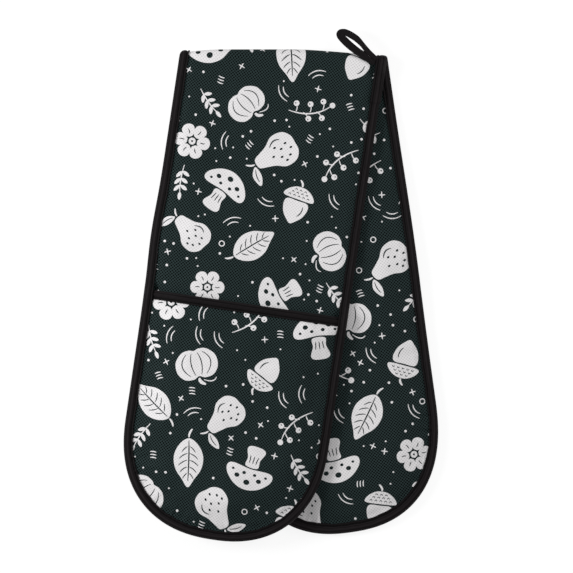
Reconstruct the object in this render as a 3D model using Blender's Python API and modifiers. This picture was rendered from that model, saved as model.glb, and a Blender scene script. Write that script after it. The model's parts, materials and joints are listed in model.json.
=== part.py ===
"""Double oven glove, folded across its middle and laid flat.

One long padded strip has a mitten pocket on its outer side at each end. Folded, the back half
lies below with its pocket towards the table, and the front half lies above it with its pocket
upwards. The halves lean apart, so both rounded toes show. A tape binds the strip's whole edge
and each pocket's mouth, and a tape loop is sewn to one corner of the fold.

Metres, +Z up, +Y towards the fold, +X to the right; the origin is under the middle of the whole.
"""

import math

import bmesh
import bpy

# Strip outline
STRIP_WIDTH = 0.180
FRONT_LENGTH = 0.4331
BACK_LENGTH = 0.4266
FRONT_TOE = 0.0950
BACK_TOE = 0.1050
FRONT_TOE_POWER = 2.4
BACK_TOE_POWER = 2.35
FRONT_LEAN = math.radians(-8.4)
BACK_LEAN = math.radians(8.0)
MOUTH_DISTANCE = 0.224

# Cloth, padding and tape
COVER = 0.0007
LINING = 0.0006
PADDING_EDGE = 0.0012
PADDING_FULL = 0.0032
POCKET_PADDING_EDGE = 0.0008
POCKET_PADDING_FULL = 0.0020
TAPE = 0.0008
TAPE_WIDTH = 0.0080
TAPE_TURN = 0.0010
LAYER_GAP = 0.0003
EDGE_SETBACK = 0.0015

# How the layers lie
POCKET_ROOM = 0.0060
PINCH_WIDTH = 0.0090
CROWN_WIDTH = 0.0380
MOUTH_CROWN = 0.0240
CLIMB_LENGTH = 0.2050
HALVES_GAP = 0.0007
DROOP = 0.0080
DROOP_LEAD = 0.0100
DROOP_WIDTH = 0.1050
FOLD_ROUND = 0.0034
SHEAR_LENGTH = 0.1100
MOUTH_WRAP = 0.0100
MOUTH_LEAD = 0.0005

# Loop, its stitched ends and the lap of the binding
LOOP_LENGTH = 0.0420
LOOP_HALF_WIDTH = 0.0072
LOOP_THICKNESS = 0.0014
LOOP_ANGLE = math.radians(141.5)
LOOP_FROM_SIDE = 0.0098
LOOP_FROM_FOLD = 0.0079
EYE_HALF_WIDTH = 0.0012
TACK_LENGTH = 0.0050
TACK_WIDTH = 0.0080
LAP_LENGTH = 0.0335

# Mesh rows, as shares of the lengths that they follow
CLIMB_ROW_SHARES = (0, 0.10, 0.25, 0.40, 0.55, 0.70, 0.84)
POCKET_ROW_SHARES = (0.55, 1)
CROWN_RING_SHARES = (0.24, 0.59, 1)
SPINE_RING_SHARES = (0, 0.25, 0.6, 1)
LOOP_SHARES = ((0, -0.68), (0.22, -0.90), (0.50, -1), (0.80, -0.82), (0.97, -0.42), (1, 0))
EYE_SHARES = ((0.14, 0), (0.38, -1), (0.62, -1), (0.80, 0))
TOE_STEPS = 16
WELD = 0.000001

HALF_WIDTH = STRIP_WIDTH / 2
TAPE_STAND = TAPE + LAYER_GAP
COLLECTION = "double_oven_glove"

PRINTED_CLOTH = (0.014, 0.021, 0.020, 1)
PADDING_FELT = (0.72, 0.70, 0.66, 1)
LINING_CLOTH = (0.60, 0.58, 0.53, 1)
BINDING_TAPE = (0.022, 0.021, 0.023, 1)
CLOTH_ROUGHNESS = 0.85
FELT_ROUGHNESS = 0.95
TAPE_ROUGHNESS = 0.75


def mix(low, high, share):
    return low + (high - low) * share


def smooth(share):
    share = min(max(share, 0), 1)
    return share * share * (3 - 2 * share)


def fullness(inset):
    """0 on the border that the tape pinches, 1 where the padding has its whole height."""
    return smooth((inset - PINCH_WIDTH) / (CROWN_WIDTH - PINCH_WIDTH))


def panel_thickness(full):
    """Both covers and the padding of the strip itself."""
    return 2 * (COVER + LAYER_GAP) + mix(PADDING_EDGE, PADDING_FULL, full)


def pocket_thickness(full):
    """Cover, padding and lining of a pocket."""
    padding = mix(POCKET_PADDING_EDGE, POCKET_PADDING_FULL, full)
    return COVER + LINING + 2 * LAYER_GAP + padding


def pocket_room(full, along):
    """Height of the space for the hand: a hairline at the edges, and the tape's at the mouth."""
    mouth = 1 - smooth((along - MOUTH_DISTANCE - PINCH_WIDTH) / MOUTH_CROWN)
    return mix(LAYER_GAP + TAPE_STAND * mouth, POCKET_ROOM, full)


def pocket_fullness(full, along):
    return full * smooth((along - MOUTH_DISTANCE - PINCH_WIDTH) / MOUTH_CROWN)


def climb(y):
    """0 at the fold, 1 from where the pockets lie between the layers."""
    return smooth(-y / CLIMB_LENGTH)


FOLD_DEPTH = panel_thickness(1)
FOLD_END = FOLD_DEPTH + LAYER_GAP
FRONT_FOLD_LEVEL = panel_thickness(1) + HALVES_GAP + TAPE_STAND
BACK_PLATEAU = pocket_thickness(1) + POCKET_ROOM
FRONT_PLATEAU = BACK_PLATEAU + FRONT_FOLD_LEVEL
FOLD_TOP = FRONT_FOLD_LEVEL + panel_thickness(1)
FOLD_HALF_WIDTH = HALF_WIDTH / math.cos((FRONT_LEAN - BACK_LEAN) / 2)
LOOP_LEVEL = FRONT_FOLD_LEVEL + panel_thickness(0) + 2 * TAPE_STAND + LAYER_GAP


class Half:
    """One half of the strip. across runs over its width, along runs from the fold to the toe."""

    def __init__(self, name, length, toe, power, lean):
        self.name = name
        self.toe = toe
        self.power = power
        self.lean = lean
        self.toe_start = length - toe
        self.mouth_rows = [
            MOUTH_DISTANCE + PINCH_WIDTH,
            MOUTH_DISTANCE + PINCH_WIDTH + MOUTH_CROWN / 2,
            MOUTH_DISTANCE + PINCH_WIDTH + MOUTH_CROWN,
        ]
        pocket_end = self.mouth_rows[-1]
        self.mouth_rows += [mix(pocket_end, self.toe_start, s) for s in POCKET_ROW_SHARES]
        self.first_row = FOLD_END / math.cos(lean)
        wrap_start = MOUTH_DISTANCE - MOUTH_WRAP
        self.rows = [mix(self.first_row, wrap_start, s) for s in CLIMB_ROW_SHARES]
        self.rows += [wrap_start, MOUTH_DISTANCE - MOUTH_LEAD] + self.mouth_rows
        self.pocket_rows = [MOUTH_DISTANCE + EDGE_SETBACK] + self.mouth_rows

    def place(self, across, along):
        """Point of the table plane, with the middle of the fold at its origin."""
        x = across * math.cos(self.lean) + along * math.sin(self.lean)
        y = across * math.sin(self.lean) - along * math.cos(self.lean)
        return x, y

    def strip_place(self, x, y):
        across = x * math.cos(self.lean) + y * math.sin(self.lean)
        along = x * math.sin(self.lean) - y * math.cos(self.lean)
        return across, along

    def stations(self, rows):
        """Places round the outline: up the left side, round the toe, back down the right."""
        toe = [(0, math.pi * (1 - step / TOE_STEPS)) for step in range(1, TOE_STEPS)]
        return [(-1, row) for row in rows] + toe + [(1, row) for row in reversed(rows)]

    def point(self, station, inset):
        """Point at a station round the outline, inset from the strip's edge."""
        side, value = station
        share = 1 - inset / HALF_WIDTH
        if side:
            across = side * HALF_WIDTH * share
            shear = max(0, 1 - (value - self.first_row) / SHEAR_LENGTH)
            return self.place(across, value + across * math.tan(self.lean) * shear)
        cosine = math.cos(value)
        across = math.copysign(abs(cosine) ** (2 / self.power), cosine)
        along = math.sin(value) ** (2 / self.power)
        return self.place(
            across * HALF_WIDTH * share, self.toe_start + along * self.toe * share
        )

    def full(self, x, y):
        across, along = self.strip_place(x, y)
        side = abs(across) / HALF_WIDTH
        end = max(0, along - self.toe_start) / self.toe
        reach = (side**self.power + end**self.power) ** (1 / self.power)
        return fullness(HALF_WIDTH * (1 - reach))

    def along(self, x, y):
        return self.strip_place(x, y)[1]

    def wrap(self, x, y):
        """0 where the edge tape holds the strip alone, 1 where it holds the pocket too."""
        start = MOUTH_DISTANCE - MOUTH_WRAP
        return min(max((self.along(x, y) - start) / (MOUTH_WRAP - MOUTH_LEAD), 0), 1)


class BackHalf(Half):
    """The lower half: its pocket lies on the table, under the strip."""

    def pocket_floor(self, x, y):
        full = pocket_fullness(self.full(x, y), self.along(x, y))
        return TAPE_STAND * (1 - full)

    def pocket_roof(self, x, y):
        full = pocket_fullness(self.full(x, y), self.along(x, y))
        return self.pocket_floor(x, y) + pocket_thickness(full)

    def floor(self, x, y):
        full = self.full(x, y)
        stand = TAPE_STAND * (1 - full)
        room = pocket_room(full, self.along(x, y))
        return mix(stand, stand + pocket_thickness(full) + room, climb(y))

    def roof(self, x, y):
        return self.floor(x, y) + panel_thickness(self.full(x, y))

    def lowest(self, x, y):
        return mix(self.floor(x, y), self.pocket_floor(x, y), self.wrap(x, y))

    def highest(self, x, y):
        return self.roof(x, y)


class FrontHalf(Half):
    """The upper half: it lies on the back half, and droops where it reaches past its edge."""

    def __init__(self, name, length, toe, power, lean, under):
        super().__init__(name, length, toe, power, lean)
        self.under = under

    def floor(self, x, y):
        past_edge = -self.under.strip_place(x, y)[0] - HALF_WIDTH
        droop = DROOP * smooth((past_edge + DROOP_LEAD) / DROOP_WIDTH)
        return mix(FRONT_FOLD_LEVEL, FRONT_PLATEAU - droop, climb(y))

    def roof(self, x, y):
        return self.floor(x, y) + panel_thickness(self.full(x, y))

    def pocket_floor(self, x, y):
        return self.roof(x, y) + pocket_room(self.full(x, y), self.along(x, y))

    def pocket_roof(self, x, y):
        full = pocket_fullness(self.full(x, y), self.along(x, y))
        return self.pocket_floor(x, y) + pocket_thickness(full)

    def lowest(self, x, y):
        return self.floor(x, y)

    def highest(self, x, y):
        return mix(self.roof(x, y), self.pocket_roof(x, y), self.wrap(x, y))


def clear_scene():
    for obj in list(bpy.data.objects):
        bpy.data.objects.remove(obj, do_unlink=True)


def new_collection():
    collection = bpy.data.collections.new(COLLECTION)
    bpy.context.scene.collection.children.link(collection)
    return collection


def make_material(name, colour, roughness):
    material = bpy.data.materials.new(name)
    material.use_nodes = True
    shader = material.node_tree.nodes["Principled BSDF"]
    shader.inputs["Base Color"].default_value = colour
    shader.inputs["Roughness"].default_value = roughness
    shader.inputs["Metallic"].default_value = 0
    return material


class Assembly:
    """The glove's collection, with an empty on each joint's axis that carries a moving body."""

    def __init__(self):
        self.collection = new_collection()
        self.back = self.add_empty("back_half_frame", None, (0, 0, 0))
        self.fold = self.add_empty("lower_fold_axis", self.back, (0, 0, 0))
        self.front = self.add_empty("upper_fold_axis", self.fold, (0, 0, FOLD_TOP))
        hinge = (*loop_base(), LOOP_LEVEL + LOOP_THICKNESS)
        self.loop = self.add_empty("loop_axis", self.front, hinge)
        self.parts = []

    def add_empty(self, name, parent, place):
        empty = bpy.data.objects.new(name, None)
        self.collection.objects.link(empty)
        empty["place"] = place
        empty.parent = parent
        came_from = parent["place"] if parent else (0, 0, 0)
        empty.location = [place[k] - came_from[k] for k in range(3)]
        return empty

    def add(self, name, data, carrier, colour, roughness, place=(0, 0, 0)):
        obj = bpy.data.objects.new(name, data)
        self.collection.objects.link(obj)
        data.materials.append(make_material(name, colour, roughness))
        obj.parent = carrier
        obj.location = [place[k] - carrier["place"][k] for k in range(3)]
        self.parts.append(obj)
        return obj

    def stand_on_origin(self):
        """Moves the whole so that the origin is under the middle of its box."""
        bpy.context.view_layer.update()
        seen = bpy.context.evaluated_depsgraph_get()
        corners = []
        for part in self.parts:
            shape = part.evaluated_get(seen)
            mesh = shape.to_mesh()
            corners += [shape.matrix_world @ vertex.co for vertex in mesh.vertices]
            shape.to_mesh_clear()
        low = [min(corner[k] for corner in corners) for k in range(3)]
        high = [max(corner[k] for corner in corners) for k in range(3)]
        self.back.location = (-(low[0] + high[0]) / 2, -(low[1] + high[1]) / 2, -low[2])


def grid(columns, rows, place):
    """Faces in columns and rows whose corner (column, row) lies at place(column, row)."""
    bm = bmesh.new()
    bmesh.ops.create_grid(bm, x_segments=columns - 1, y_segments=rows - 1, size=1)
    for vert in bm.verts:
        column = round((vert.co.x + 1) / 2 * (columns - 1))
        row = round((vert.co.y + 1) / 2 * (rows - 1))
        vert.co = place(column, row)
    return bm


def finished_mesh(name, bm, smooth_faces=True):
    mesh = bpy.data.meshes.new(name)
    bm.to_mesh(mesh)
    bm.free()
    if smooth_faces:
        mesh.shade_smooth()
        mesh.set_sharp_from_angle(angle=math.radians(40))
    return mesh


def solidify(obj, thickness):
    modifier = obj.modifiers.new("thickness", "SOLIDIFY")
    modifier.thickness = thickness
    modifier.offset = -1
    modifier.use_even_offset = True
    modifier.use_quality_normals = True


def panel_mesh(name, half, rows, underside, topside):
    """Sheet of the half's outline between two levels, both functions of the place."""
    stations = half.stations(rows)
    insets = [EDGE_SETBACK, PINCH_WIDTH]
    insets += [mix(PINCH_WIDTH, CROWN_WIDTH, share) for share in CROWN_RING_SHARES]
    insets += [HALF_WIDTH]
    bm = grid(
        len(stations),
        len(insets),
        lambda column, row: (*half.point(stations[column], insets[row]), 0),
    )
    bmesh.ops.remove_doubles(bm, verts=bm.verts, dist=WELD)
    bmesh.ops.triangulate(bm, faces=bm.faces, quad_method="FIXED")
    raised = bmesh.ops.extrude_face_region(bm, geom=bm.faces[:])["geom"]
    raised = {item for item in raised if isinstance(item, bmesh.types.BMVert)}
    for vert in bm.verts:
        level = topside if vert in raised else underside
        vert.co.z = level(vert.co.x, vert.co.y)
    bmesh.ops.recalc_face_normals(bm, faces=bm.faces)
    return finished_mesh(name, bm)


def raised_level(level, rise):
    return lambda x, y: level(x, y) + rise


def sandwich(assembly, carrier, half, rows, floor, roof, layers):
    """Three layers with hairline gaps: a sheet, the padding and a sheet, from the floor up."""
    (low_name, low_sheet, low_colour), padding_name, (top_name, top_sheet, top_colour) = layers
    low_top = raised_level(floor, low_sheet)
    pad_low = raised_level(floor, low_sheet + LAYER_GAP)
    pad_top = raised_level(roof, -top_sheet - LAYER_GAP)
    top_low = raised_level(roof, -top_sheet)
    for name, low, top, colour, roughness in (
        (low_name, floor, low_top, low_colour, CLOTH_ROUGHNESS),
        (padding_name, pad_low, pad_top, PADDING_FELT, FELT_ROUGHNESS),
        (top_name, top_low, roof, top_colour, CLOTH_ROUGHNESS),
    ):
        mesh = panel_mesh(name, half, rows, low, top)
        assembly.add(name, mesh, carrier, colour, roughness)


def make_strip(assembly, carrier, half, face_up):
    """The strip's own three layers; face is the outer side of the folded glove."""
    face = (half.name + "_face_cover", COVER, PRINTED_CLOTH)
    reverse = (half.name + "_reverse_cover", COVER, PRINTED_CLOTH)
    low, top = (reverse, face) if face_up else (face, reverse)
    layers = (low, half.name + "_wadding", top)
    sandwich(assembly, carrier, half, half.rows, half.floor, half.roof, layers)


def make_pocket(assembly, carrier, half, face_up):
    cover = (half.name + "_pocket_cover", COVER, PRINTED_CLOTH)
    lining = (half.name + "_pocket_lining", LINING, LINING_CLOTH)
    low, top = (lining, cover) if face_up else (cover, lining)
    layers = (low, half.name + "_pocket_wadding", top)
    floor, roof = half.pocket_floor, half.pocket_roof
    sandwich(assembly, carrier, half, half.pocket_rows, floor, roof, layers)


def make_edge_binding(assembly, carrier, half):
    """Tape folded over the edge, from the fold round the toe and back to the fold."""
    stations = half.stations(half.rows)
    profile = (
        (TAPE_WIDTH, half.lowest, -TAPE_STAND),
        (TAPE_TURN, half.lowest, -TAPE_STAND),
        (0, half.lowest, TAPE_TURN - TAPE_STAND),
        (0, half.highest, TAPE_STAND - TAPE_TURN),
        (TAPE_TURN, half.highest, TAPE_STAND),
        (TAPE_WIDTH, half.highest, TAPE_STAND),
    )
    tape_strip(assembly, carrier, half, half.name + "_edge_binding", stations, profile)


def make_lap(assembly, carrier, half):
    """End of the edge tape, lapped over its start beside the loop."""
    rows = [mix(half.first_row, LAP_LENGTH, share) for share in (0, 1 / 2, 1)]
    stations = [(1, row) for row in reversed(rows)]
    profile = (
        (-TAPE_STAND, half.lowest, TAPE_TURN - TAPE_STAND),
        (-TAPE_STAND, half.highest, 2 * TAPE_STAND - TAPE_TURN),
        (TAPE_TURN - TAPE_STAND, half.highest, 2 * TAPE_STAND),
        (TAPE_WIDTH, half.highest, 2 * TAPE_STAND),
    )
    tape_strip(assembly, carrier, half, half.name + "_binding_lap", stations, profile)


def tape_strip(assembly, carrier, half, name, stations, profile):
    def place(column, row):
        inset, level, rise = profile[row]
        x, y = half.point(stations[column], inset)
        return x, y, level(x, y) + rise

    bm = grid(len(stations), len(profile), place)
    mesh = finished_mesh(name, bm)
    obj = assembly.add(name, mesh, carrier, BINDING_TAPE, TAPE_ROUGHNESS)
    solidify(obj, TAPE)


def make_mouth_binding(assembly, carrier, half):
    """Tape folded over the pocket's open edge, between the two runs of the edge tape."""
    insets = [PINCH_WIDTH]
    insets += [mix(PINCH_WIDTH, CROWN_WIDTH, share) for share in CROWN_RING_SHARES]
    places = [HALF_WIDTH - inset for inset in insets]
    places += [0] + [-place for place in reversed(places)]
    mouth = MOUTH_DISTANCE
    profile = (
        (mouth + TAPE_WIDTH, half.pocket_floor, -TAPE_STAND),
        (mouth + TAPE_TURN, half.pocket_floor, -TAPE_STAND),
        (mouth, half.pocket_floor, TAPE_TURN - TAPE_STAND),
        (mouth, half.pocket_roof, TAPE_STAND - TAPE_TURN),
        (mouth + TAPE_TURN, half.pocket_roof, TAPE_STAND),
        (mouth + TAPE_WIDTH, half.pocket_roof, TAPE_STAND),
    )

    def place(column, row):
        along, level, rise = profile[row]
        x, y = half.place(places[column], along)
        return x, y, level(x, y) + rise

    name = half.name + "_mouth_binding"
    bm = grid(len(places), len(profile), place)
    mesh = finished_mesh(name, bm)
    obj = assembly.add(name, mesh, carrier, BINDING_TAPE, TAPE_ROUGHNESS)
    solidify(obj, TAPE)


def fold_outline(full, inset):
    """Outer side of the fold's section, from its lower inner end to its upper, as (y, z)."""
    front = -TAPE_STAND * (1 - full) - inset
    low = TAPE_STAND * (1 - full) + inset
    top = FRONT_FOLD_LEVEL + panel_thickness(full) - inset
    radius = max(FOLD_ROUND - inset, WELD)
    turns = [math.radians(90) * share for share in (0, 1 / 3, 2 / 3, 1)]
    lower = [
        (front - radius * (1 - math.sin(turn)), low + radius * (1 - math.cos(turn)))
        for turn in turns
    ]
    upper = [(y, top + low - z) for y, z in reversed(lower)]
    return [(-FOLD_DEPTH, low)] + lower + upper + [(-FOLD_DEPTH, top)]


def fold_wadding_section(full):
    """The fold's padding, with a step on its inner side for the inner cover."""
    sheet = COVER + LAYER_GAP
    inner = -FOLD_DEPTH + sheet
    upper = FRONT_FOLD_LEVEL + sheet
    lower = TAPE_STAND * (1 - full) + panel_thickness(full) - sheet
    step = [(-FOLD_DEPTH, upper), (inner, upper), (inner, lower), (-FOLD_DEPTH, lower)]
    return fold_outline(full, sheet) + step


def fold_reverse_section(full):
    low = TAPE_STAND * (1 - full) + panel_thickness(full) - COVER
    top = FRONT_FOLD_LEVEL + COVER
    outer = -FOLD_DEPTH + COVER
    return [(-FOLD_DEPTH, low), (outer, low), (outer, top), (-FOLD_DEPTH, top)]


def fold_stations():
    insets = [EDGE_SETBACK]
    insets += [mix(PINCH_WIDTH, CROWN_WIDTH, share) for share in SPINE_RING_SHARES]
    right = [(FOLD_HALF_WIDTH - inset, fullness(inset)) for inset in insets]
    return right + [(-x, full) for x, full in reversed(right)]


def make_fold(assembly, carrier):
    stations = fold_stations()
    cover = [fold_outline(full, 0) for _, full in stations]
    bm = grid(
        len(stations),
        len(cover[0]),
        lambda column, row: (stations[column][0], *cover[column][row]),
    )
    mesh = finished_mesh("fold_face_cover", bm)
    obj = assembly.add("fold_face_cover", mesh, carrier, PRINTED_CLOTH, CLOTH_ROUGHNESS)
    solidify(obj, COVER)
    for name, section, colour, roughness in (
        ("fold_wadding", fold_wadding_section, PADDING_FELT, FELT_ROUGHNESS),
        ("fold_reverse_cover", fold_reverse_section, PRINTED_CLOTH, CLOTH_ROUGHNESS),
    ):
        rings = [section(full) for _, full in stations]
        mesh = closed_loft(name, [x for x, _ in stations], rings)
        assembly.add(name, mesh, carrier, colour, roughness)


def closed_loft(name, places, rings):
    """Solid through closed sections that stand across the X axis."""
    corners = len(rings[0])
    bm = grid(
        len(places),
        corners + 1,
        lambda column, row: (places[column], *rings[column][row % corners]),
    )
    bmesh.ops.remove_doubles(bm, verts=bm.verts, dist=WELD)
    bmesh.ops.holes_fill(bm, edges=bm.edges, sides=corners)
    bmesh.ops.recalc_face_normals(bm, faces=bm.faces)
    return finished_mesh(name, bm, smooth_faces=False)


def make_fold_bindings(assembly, carrier):
    """Tape over each end of the fold: one leg round its outer side, and the edge itself."""
    outline = fold_outline(0, -TAPE_STAND)
    for name, side in (("fold_binding_left", -1), ("fold_binding_right", 1)):
        ends = (side * (FOLD_HALF_WIDTH - TAPE_WIDTH), side * FOLD_HALF_WIDTH)
        bm = grid(len(outline), 2, lambda column, row: (ends[row], *outline[column]))
        rim = [vert for vert in bm.verts if abs(vert.co.x - ends[1]) < WELD]
        rim.sort(key=lambda vert: min(
            range(len(outline)),
            key=lambda k: math.dist(outline[k], (vert.co.y, vert.co.z)),
        ))
        bm.faces.new(rim)
        bmesh.ops.recalc_face_normals(bm, faces=bm.faces)
        mesh = finished_mesh(name, bm)
        obj = assembly.add(name, mesh, carrier, BINDING_TAPE, TAPE_ROUGHNESS)
        solidify(obj, TAPE)


def loop_base():
    return FOLD_HALF_WIDTH - LOOP_FROM_SIDE, -LOOP_FROM_FOLD


def flat_outline(name, outlines, thickness):
    """Plate from closed outlines of (x, y, is it a corner); the ones inside are holes."""
    curve = bpy.data.curves.new(name, "CURVE")
    curve.dimensions = "2D"
    curve.fill_mode = "BOTH"
    curve.extrude = thickness / 2
    curve.resolution_u = 3
    for outline in outlines:
        spline = curve.splines.new("BEZIER")
        spline.bezier_points.add(len(outline) - 1)
        spline.use_cyclic_u = True
        for point, (x, y, corner) in zip(spline.bezier_points, outline):
            point.co = (x, y, 0)
            kind = "VECTOR" if corner else "AUTO"
            point.handle_left_type = kind
            point.handle_right_type = kind
    return curve


def both_sides(points):
    """A half outline that ends on its axis, with its mirror image to close it."""
    return points + [(x, -y, corner) for x, y, corner in reversed(points) if y]


def make_loop(assembly):
    """Loop of folded tape, lying flat, with a narrow eye between its two runs."""
    base = loop_base()
    middle = LOOP_LEVEL + LOOP_THICKNESS / 2
    start = LAYER_GAP
    outer = [
        (start + s * LOOP_LENGTH, w * LOOP_HALF_WIDTH, s == 0) for s, w in LOOP_SHARES
    ]
    eye = [(start + s * LOOP_LENGTH, w * EYE_HALF_WIDTH, False) for s, w in EYE_SHARES]
    curve = flat_outline("hanging_loop", [both_sides(outer), both_sides(eye)], LOOP_THICKNESS)
    loop = assembly.add(
        "hanging_loop", curve, assembly.loop, BINDING_TAPE, TAPE_ROUGHNESS, (*base, middle)
    )
    loop.rotation_euler.z = LOOP_ANGLE
    half_width = TACK_WIDTH / 2
    plate = [
        (0, -half_width, True),
        (0, half_width, True),
        (-TACK_LENGTH, half_width, True),
        (-TACK_LENGTH, -half_width, True),
    ]
    curve = flat_outline("loop_tack", [plate], LOOP_THICKNESS)
    tack = assembly.add(
        "loop_tack", curve, assembly.front, BINDING_TAPE, TAPE_ROUGHNESS, (*base, middle)
    )
    tack.rotation_euler.z = LOOP_ANGLE


def build():
    clear_scene()
    assembly = Assembly()
    back = BackHalf("back", BACK_LENGTH, BACK_TOE, BACK_TOE_POWER, BACK_LEAN)
    front = FrontHalf("front", FRONT_LENGTH, FRONT_TOE, FRONT_TOE_POWER, FRONT_LEAN, back)
    for half, carrier, face_up in (
        (back, assembly.back, False),
        (front, assembly.front, True),
    ):
        make_strip(assembly, carrier, half, face_up)
        make_pocket(assembly, carrier, half, face_up)
        make_mouth_binding(assembly, carrier, half)
        make_edge_binding(assembly, carrier, half)
    make_lap(assembly, assembly.front, front)
    make_fold(assembly, assembly.fold)
    make_fold_bindings(assembly, assembly.fold)
    make_loop(assembly)
    assembly.stand_on_origin()


build()
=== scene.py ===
"""Looks of the double oven glove: printed cloth, padding, stitched binding and the hanging loop.

Each half of the strip is described on an unrolled plane of x and t, where t is y until the fold
begins. Levels are heights over that plane, and bend_over puts them into the world, round the fold.
"""

import json
import math
import random

import bpy
import numpy as np
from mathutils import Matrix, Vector
from mathutils.geometry import delaunay_2d_cdt


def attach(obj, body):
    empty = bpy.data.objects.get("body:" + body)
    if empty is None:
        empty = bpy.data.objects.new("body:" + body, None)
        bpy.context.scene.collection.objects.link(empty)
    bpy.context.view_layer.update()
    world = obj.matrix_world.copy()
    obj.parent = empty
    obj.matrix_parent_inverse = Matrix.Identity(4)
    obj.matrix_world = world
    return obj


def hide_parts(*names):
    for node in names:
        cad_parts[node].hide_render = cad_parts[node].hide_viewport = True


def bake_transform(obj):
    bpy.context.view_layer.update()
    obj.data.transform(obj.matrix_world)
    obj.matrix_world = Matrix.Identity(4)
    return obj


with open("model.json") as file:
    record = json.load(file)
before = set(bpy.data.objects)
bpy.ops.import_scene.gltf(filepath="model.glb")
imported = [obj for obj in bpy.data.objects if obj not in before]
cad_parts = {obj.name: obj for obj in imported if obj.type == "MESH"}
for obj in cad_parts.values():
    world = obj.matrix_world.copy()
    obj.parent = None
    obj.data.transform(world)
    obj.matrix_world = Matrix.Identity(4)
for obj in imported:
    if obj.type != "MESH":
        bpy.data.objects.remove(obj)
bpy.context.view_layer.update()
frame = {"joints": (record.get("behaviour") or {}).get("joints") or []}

MM = 0.001

# Sizes of the glove, as its construction has them
HALF_WIDTH = 0.0900
FRONT_LENGTH = 0.4331
BACK_LENGTH = 0.4274
FRONT_TOE = 0.0950
BACK_TOE = 0.1050
FRONT_TOE_POWER = 2.32
BACK_TOE_POWER = 2.38
FRONT_LEAN = math.radians(-8.4)
BACK_LEAN = math.radians(8.0)
MOUTH_DISTANCE = 0.224
COVER = 0.0007
LINING = 0.0006
PADDING_EDGE = 0.0012
PADDING_FULL = 0.0032
POCKET_PADDING_EDGE = 0.0008
POCKET_PADDING_FULL = 0.0020
TAPE = 0.0008
TAPE_WIDTH = 0.0080
LAYER_GAP = 0.0003
TAPE_STAND = TAPE + LAYER_GAP
TAPE_EDGE = TAPE_WIDTH + LAYER_GAP
POCKET_ROOM = 0.0060
PINCH_WIDTH = 0.0090
CROWN_WIDTH = 0.0380
MOUTH_CROWN = 0.0240
MOUTH_WRAP = 0.0100
MOUTH_SETBACK = 0.0015
CLIMB_LENGTH = 0.2050
HALVES_GAP = 0.0007
DROOP = 0.0080
DROOP_LEAD = 0.0100
DROOP_WIDTH = 0.1050
SHEAR_LENGTH = 0.1100
LEAST_HEIGHT = 0.00005

# Surface relief; waves are sums of (height, wavelength, offset)
PILLOW = 0.0017
PILLOW_RISE = 0.0065
PILLOW_START = 0.0155
PILLOW_LENGTH = 0.0240
PILLOW_MEAN_SHARE = 0.85
PILLOW_WAVES = ((0.16, 0.041, 0.2), (0.13, 0.0235, 1.4), (0.07, 0.0151, 2.6))
PUCKER = 0.00036
PUCKER_START = 0.0040
PUCKER_RISE = 0.0045
PUCKER_CREST = 0.0095
PUCKER_FADE = 0.0070
PUCKER_MEAN_SHARE = 0.65
PUCKER_WAVES = ((0.25, 0.071, 1.0), (0.15, 0.033, 0.3))
WANDER_WAVES = ((1.9, 0.053, 0.4), (0.8, 0.019, 2.1))
TOE_PUCKER_SHARE = 0.7
TOE_PUCKER_RISE = 0.0300
EDGE_RUN_SHIFT = 0.0130
EDGE_RUN_WIDTH = 0.0300
FOLD_RELIEF_SHARE = 0.35
FOLD_RELIEF_FADE = 0.0080
STITCH_INSET = 0.0063
STITCH_DIP = 0.00018
STITCH_DIP_WIDTH = 0.0008
STITCH_GROOVE = 0.0006
STITCH_GROOVE_WIDTH = 0.0007
SWELL = 0.0006
SWELL_START = 0.0100
SWELL_RISE = 0.0300
SWELL_WAVELENGTH = 0.0600
UNDER_SHARE = 0.35
PRESSED_SHARE = 0.15
PRESSED_START = -0.0120
PRESSED_RISE = 0.0100
NOISE_WAVES = 7
NOISE_LENGTH_SHARES = (0.7, 1.6)
NOISE_DIVISOR = 3.2

# Relief beside the pocket's mouth
MOUTH_PILLOW_SHARE = 0.7
MOUTH_PUCKER_SHARE = 0.8
MOUTH_PUCKER_SHIFT = 0.3
MOUTH_PUCKER_START = 0.0050
MOUTH_PUCKER_RISE = 0.0040
MOUTH_SIDE_START = 0.0060
MOUTH_SIDE_RISE = 0.0080
MOUTH_BUMP_START = -0.0050
MOUTH_BUMP_RISE = 0.0040
MOUTH_BUMP_FALL = 0.0050
SWELL_GROWTH = 3

# Cloth that is held at its seams and settles between them
CLOTH_GRID = 0.0038
CLOTH_SIDE = 0.1650
CLOTH_END = 0.4450
CLOTH_FOLD_MARGIN = 0.0140
CLOTH_UNEVENNESS = 0.00025
CLOTH_SCALE = 10
CLOTH_FRAMES = 26
CLOTH_HELD = 0.0085
CLOTH_GATHER = 0.0300
CLOTH_REST = 0.08
CLOTH_RISE = 0.0012
CLOTH_SINK = 0.0008
CLOTH_LAST = 1.001
CLOTH_SETTINGS = {
    "quality": 6,
    "mass": 0.15,
    "tension_stiffness": 25,
    "compression_stiffness": 25,
    "shear_stiffness": 12,
    "bending_stiffness": 0.35,
    "air_damping": 4,
    "vertex_group_mass": "held",
    "pin_stiffness": 1,
    "vertex_group_shrink": "gathered",
    "shrink_min": -0.004,
    "shrink_max": -0.028,
}

# Hand-made unevenness of the fold's line and of the free sides
FOLD_REACH_LEFT = 0.0019
FOLD_REACH_RIGHT = -0.0030
FOLD_REACH_TURN = 0.0050
SIDE_WAVE_PLACE = -0.1600

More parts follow.
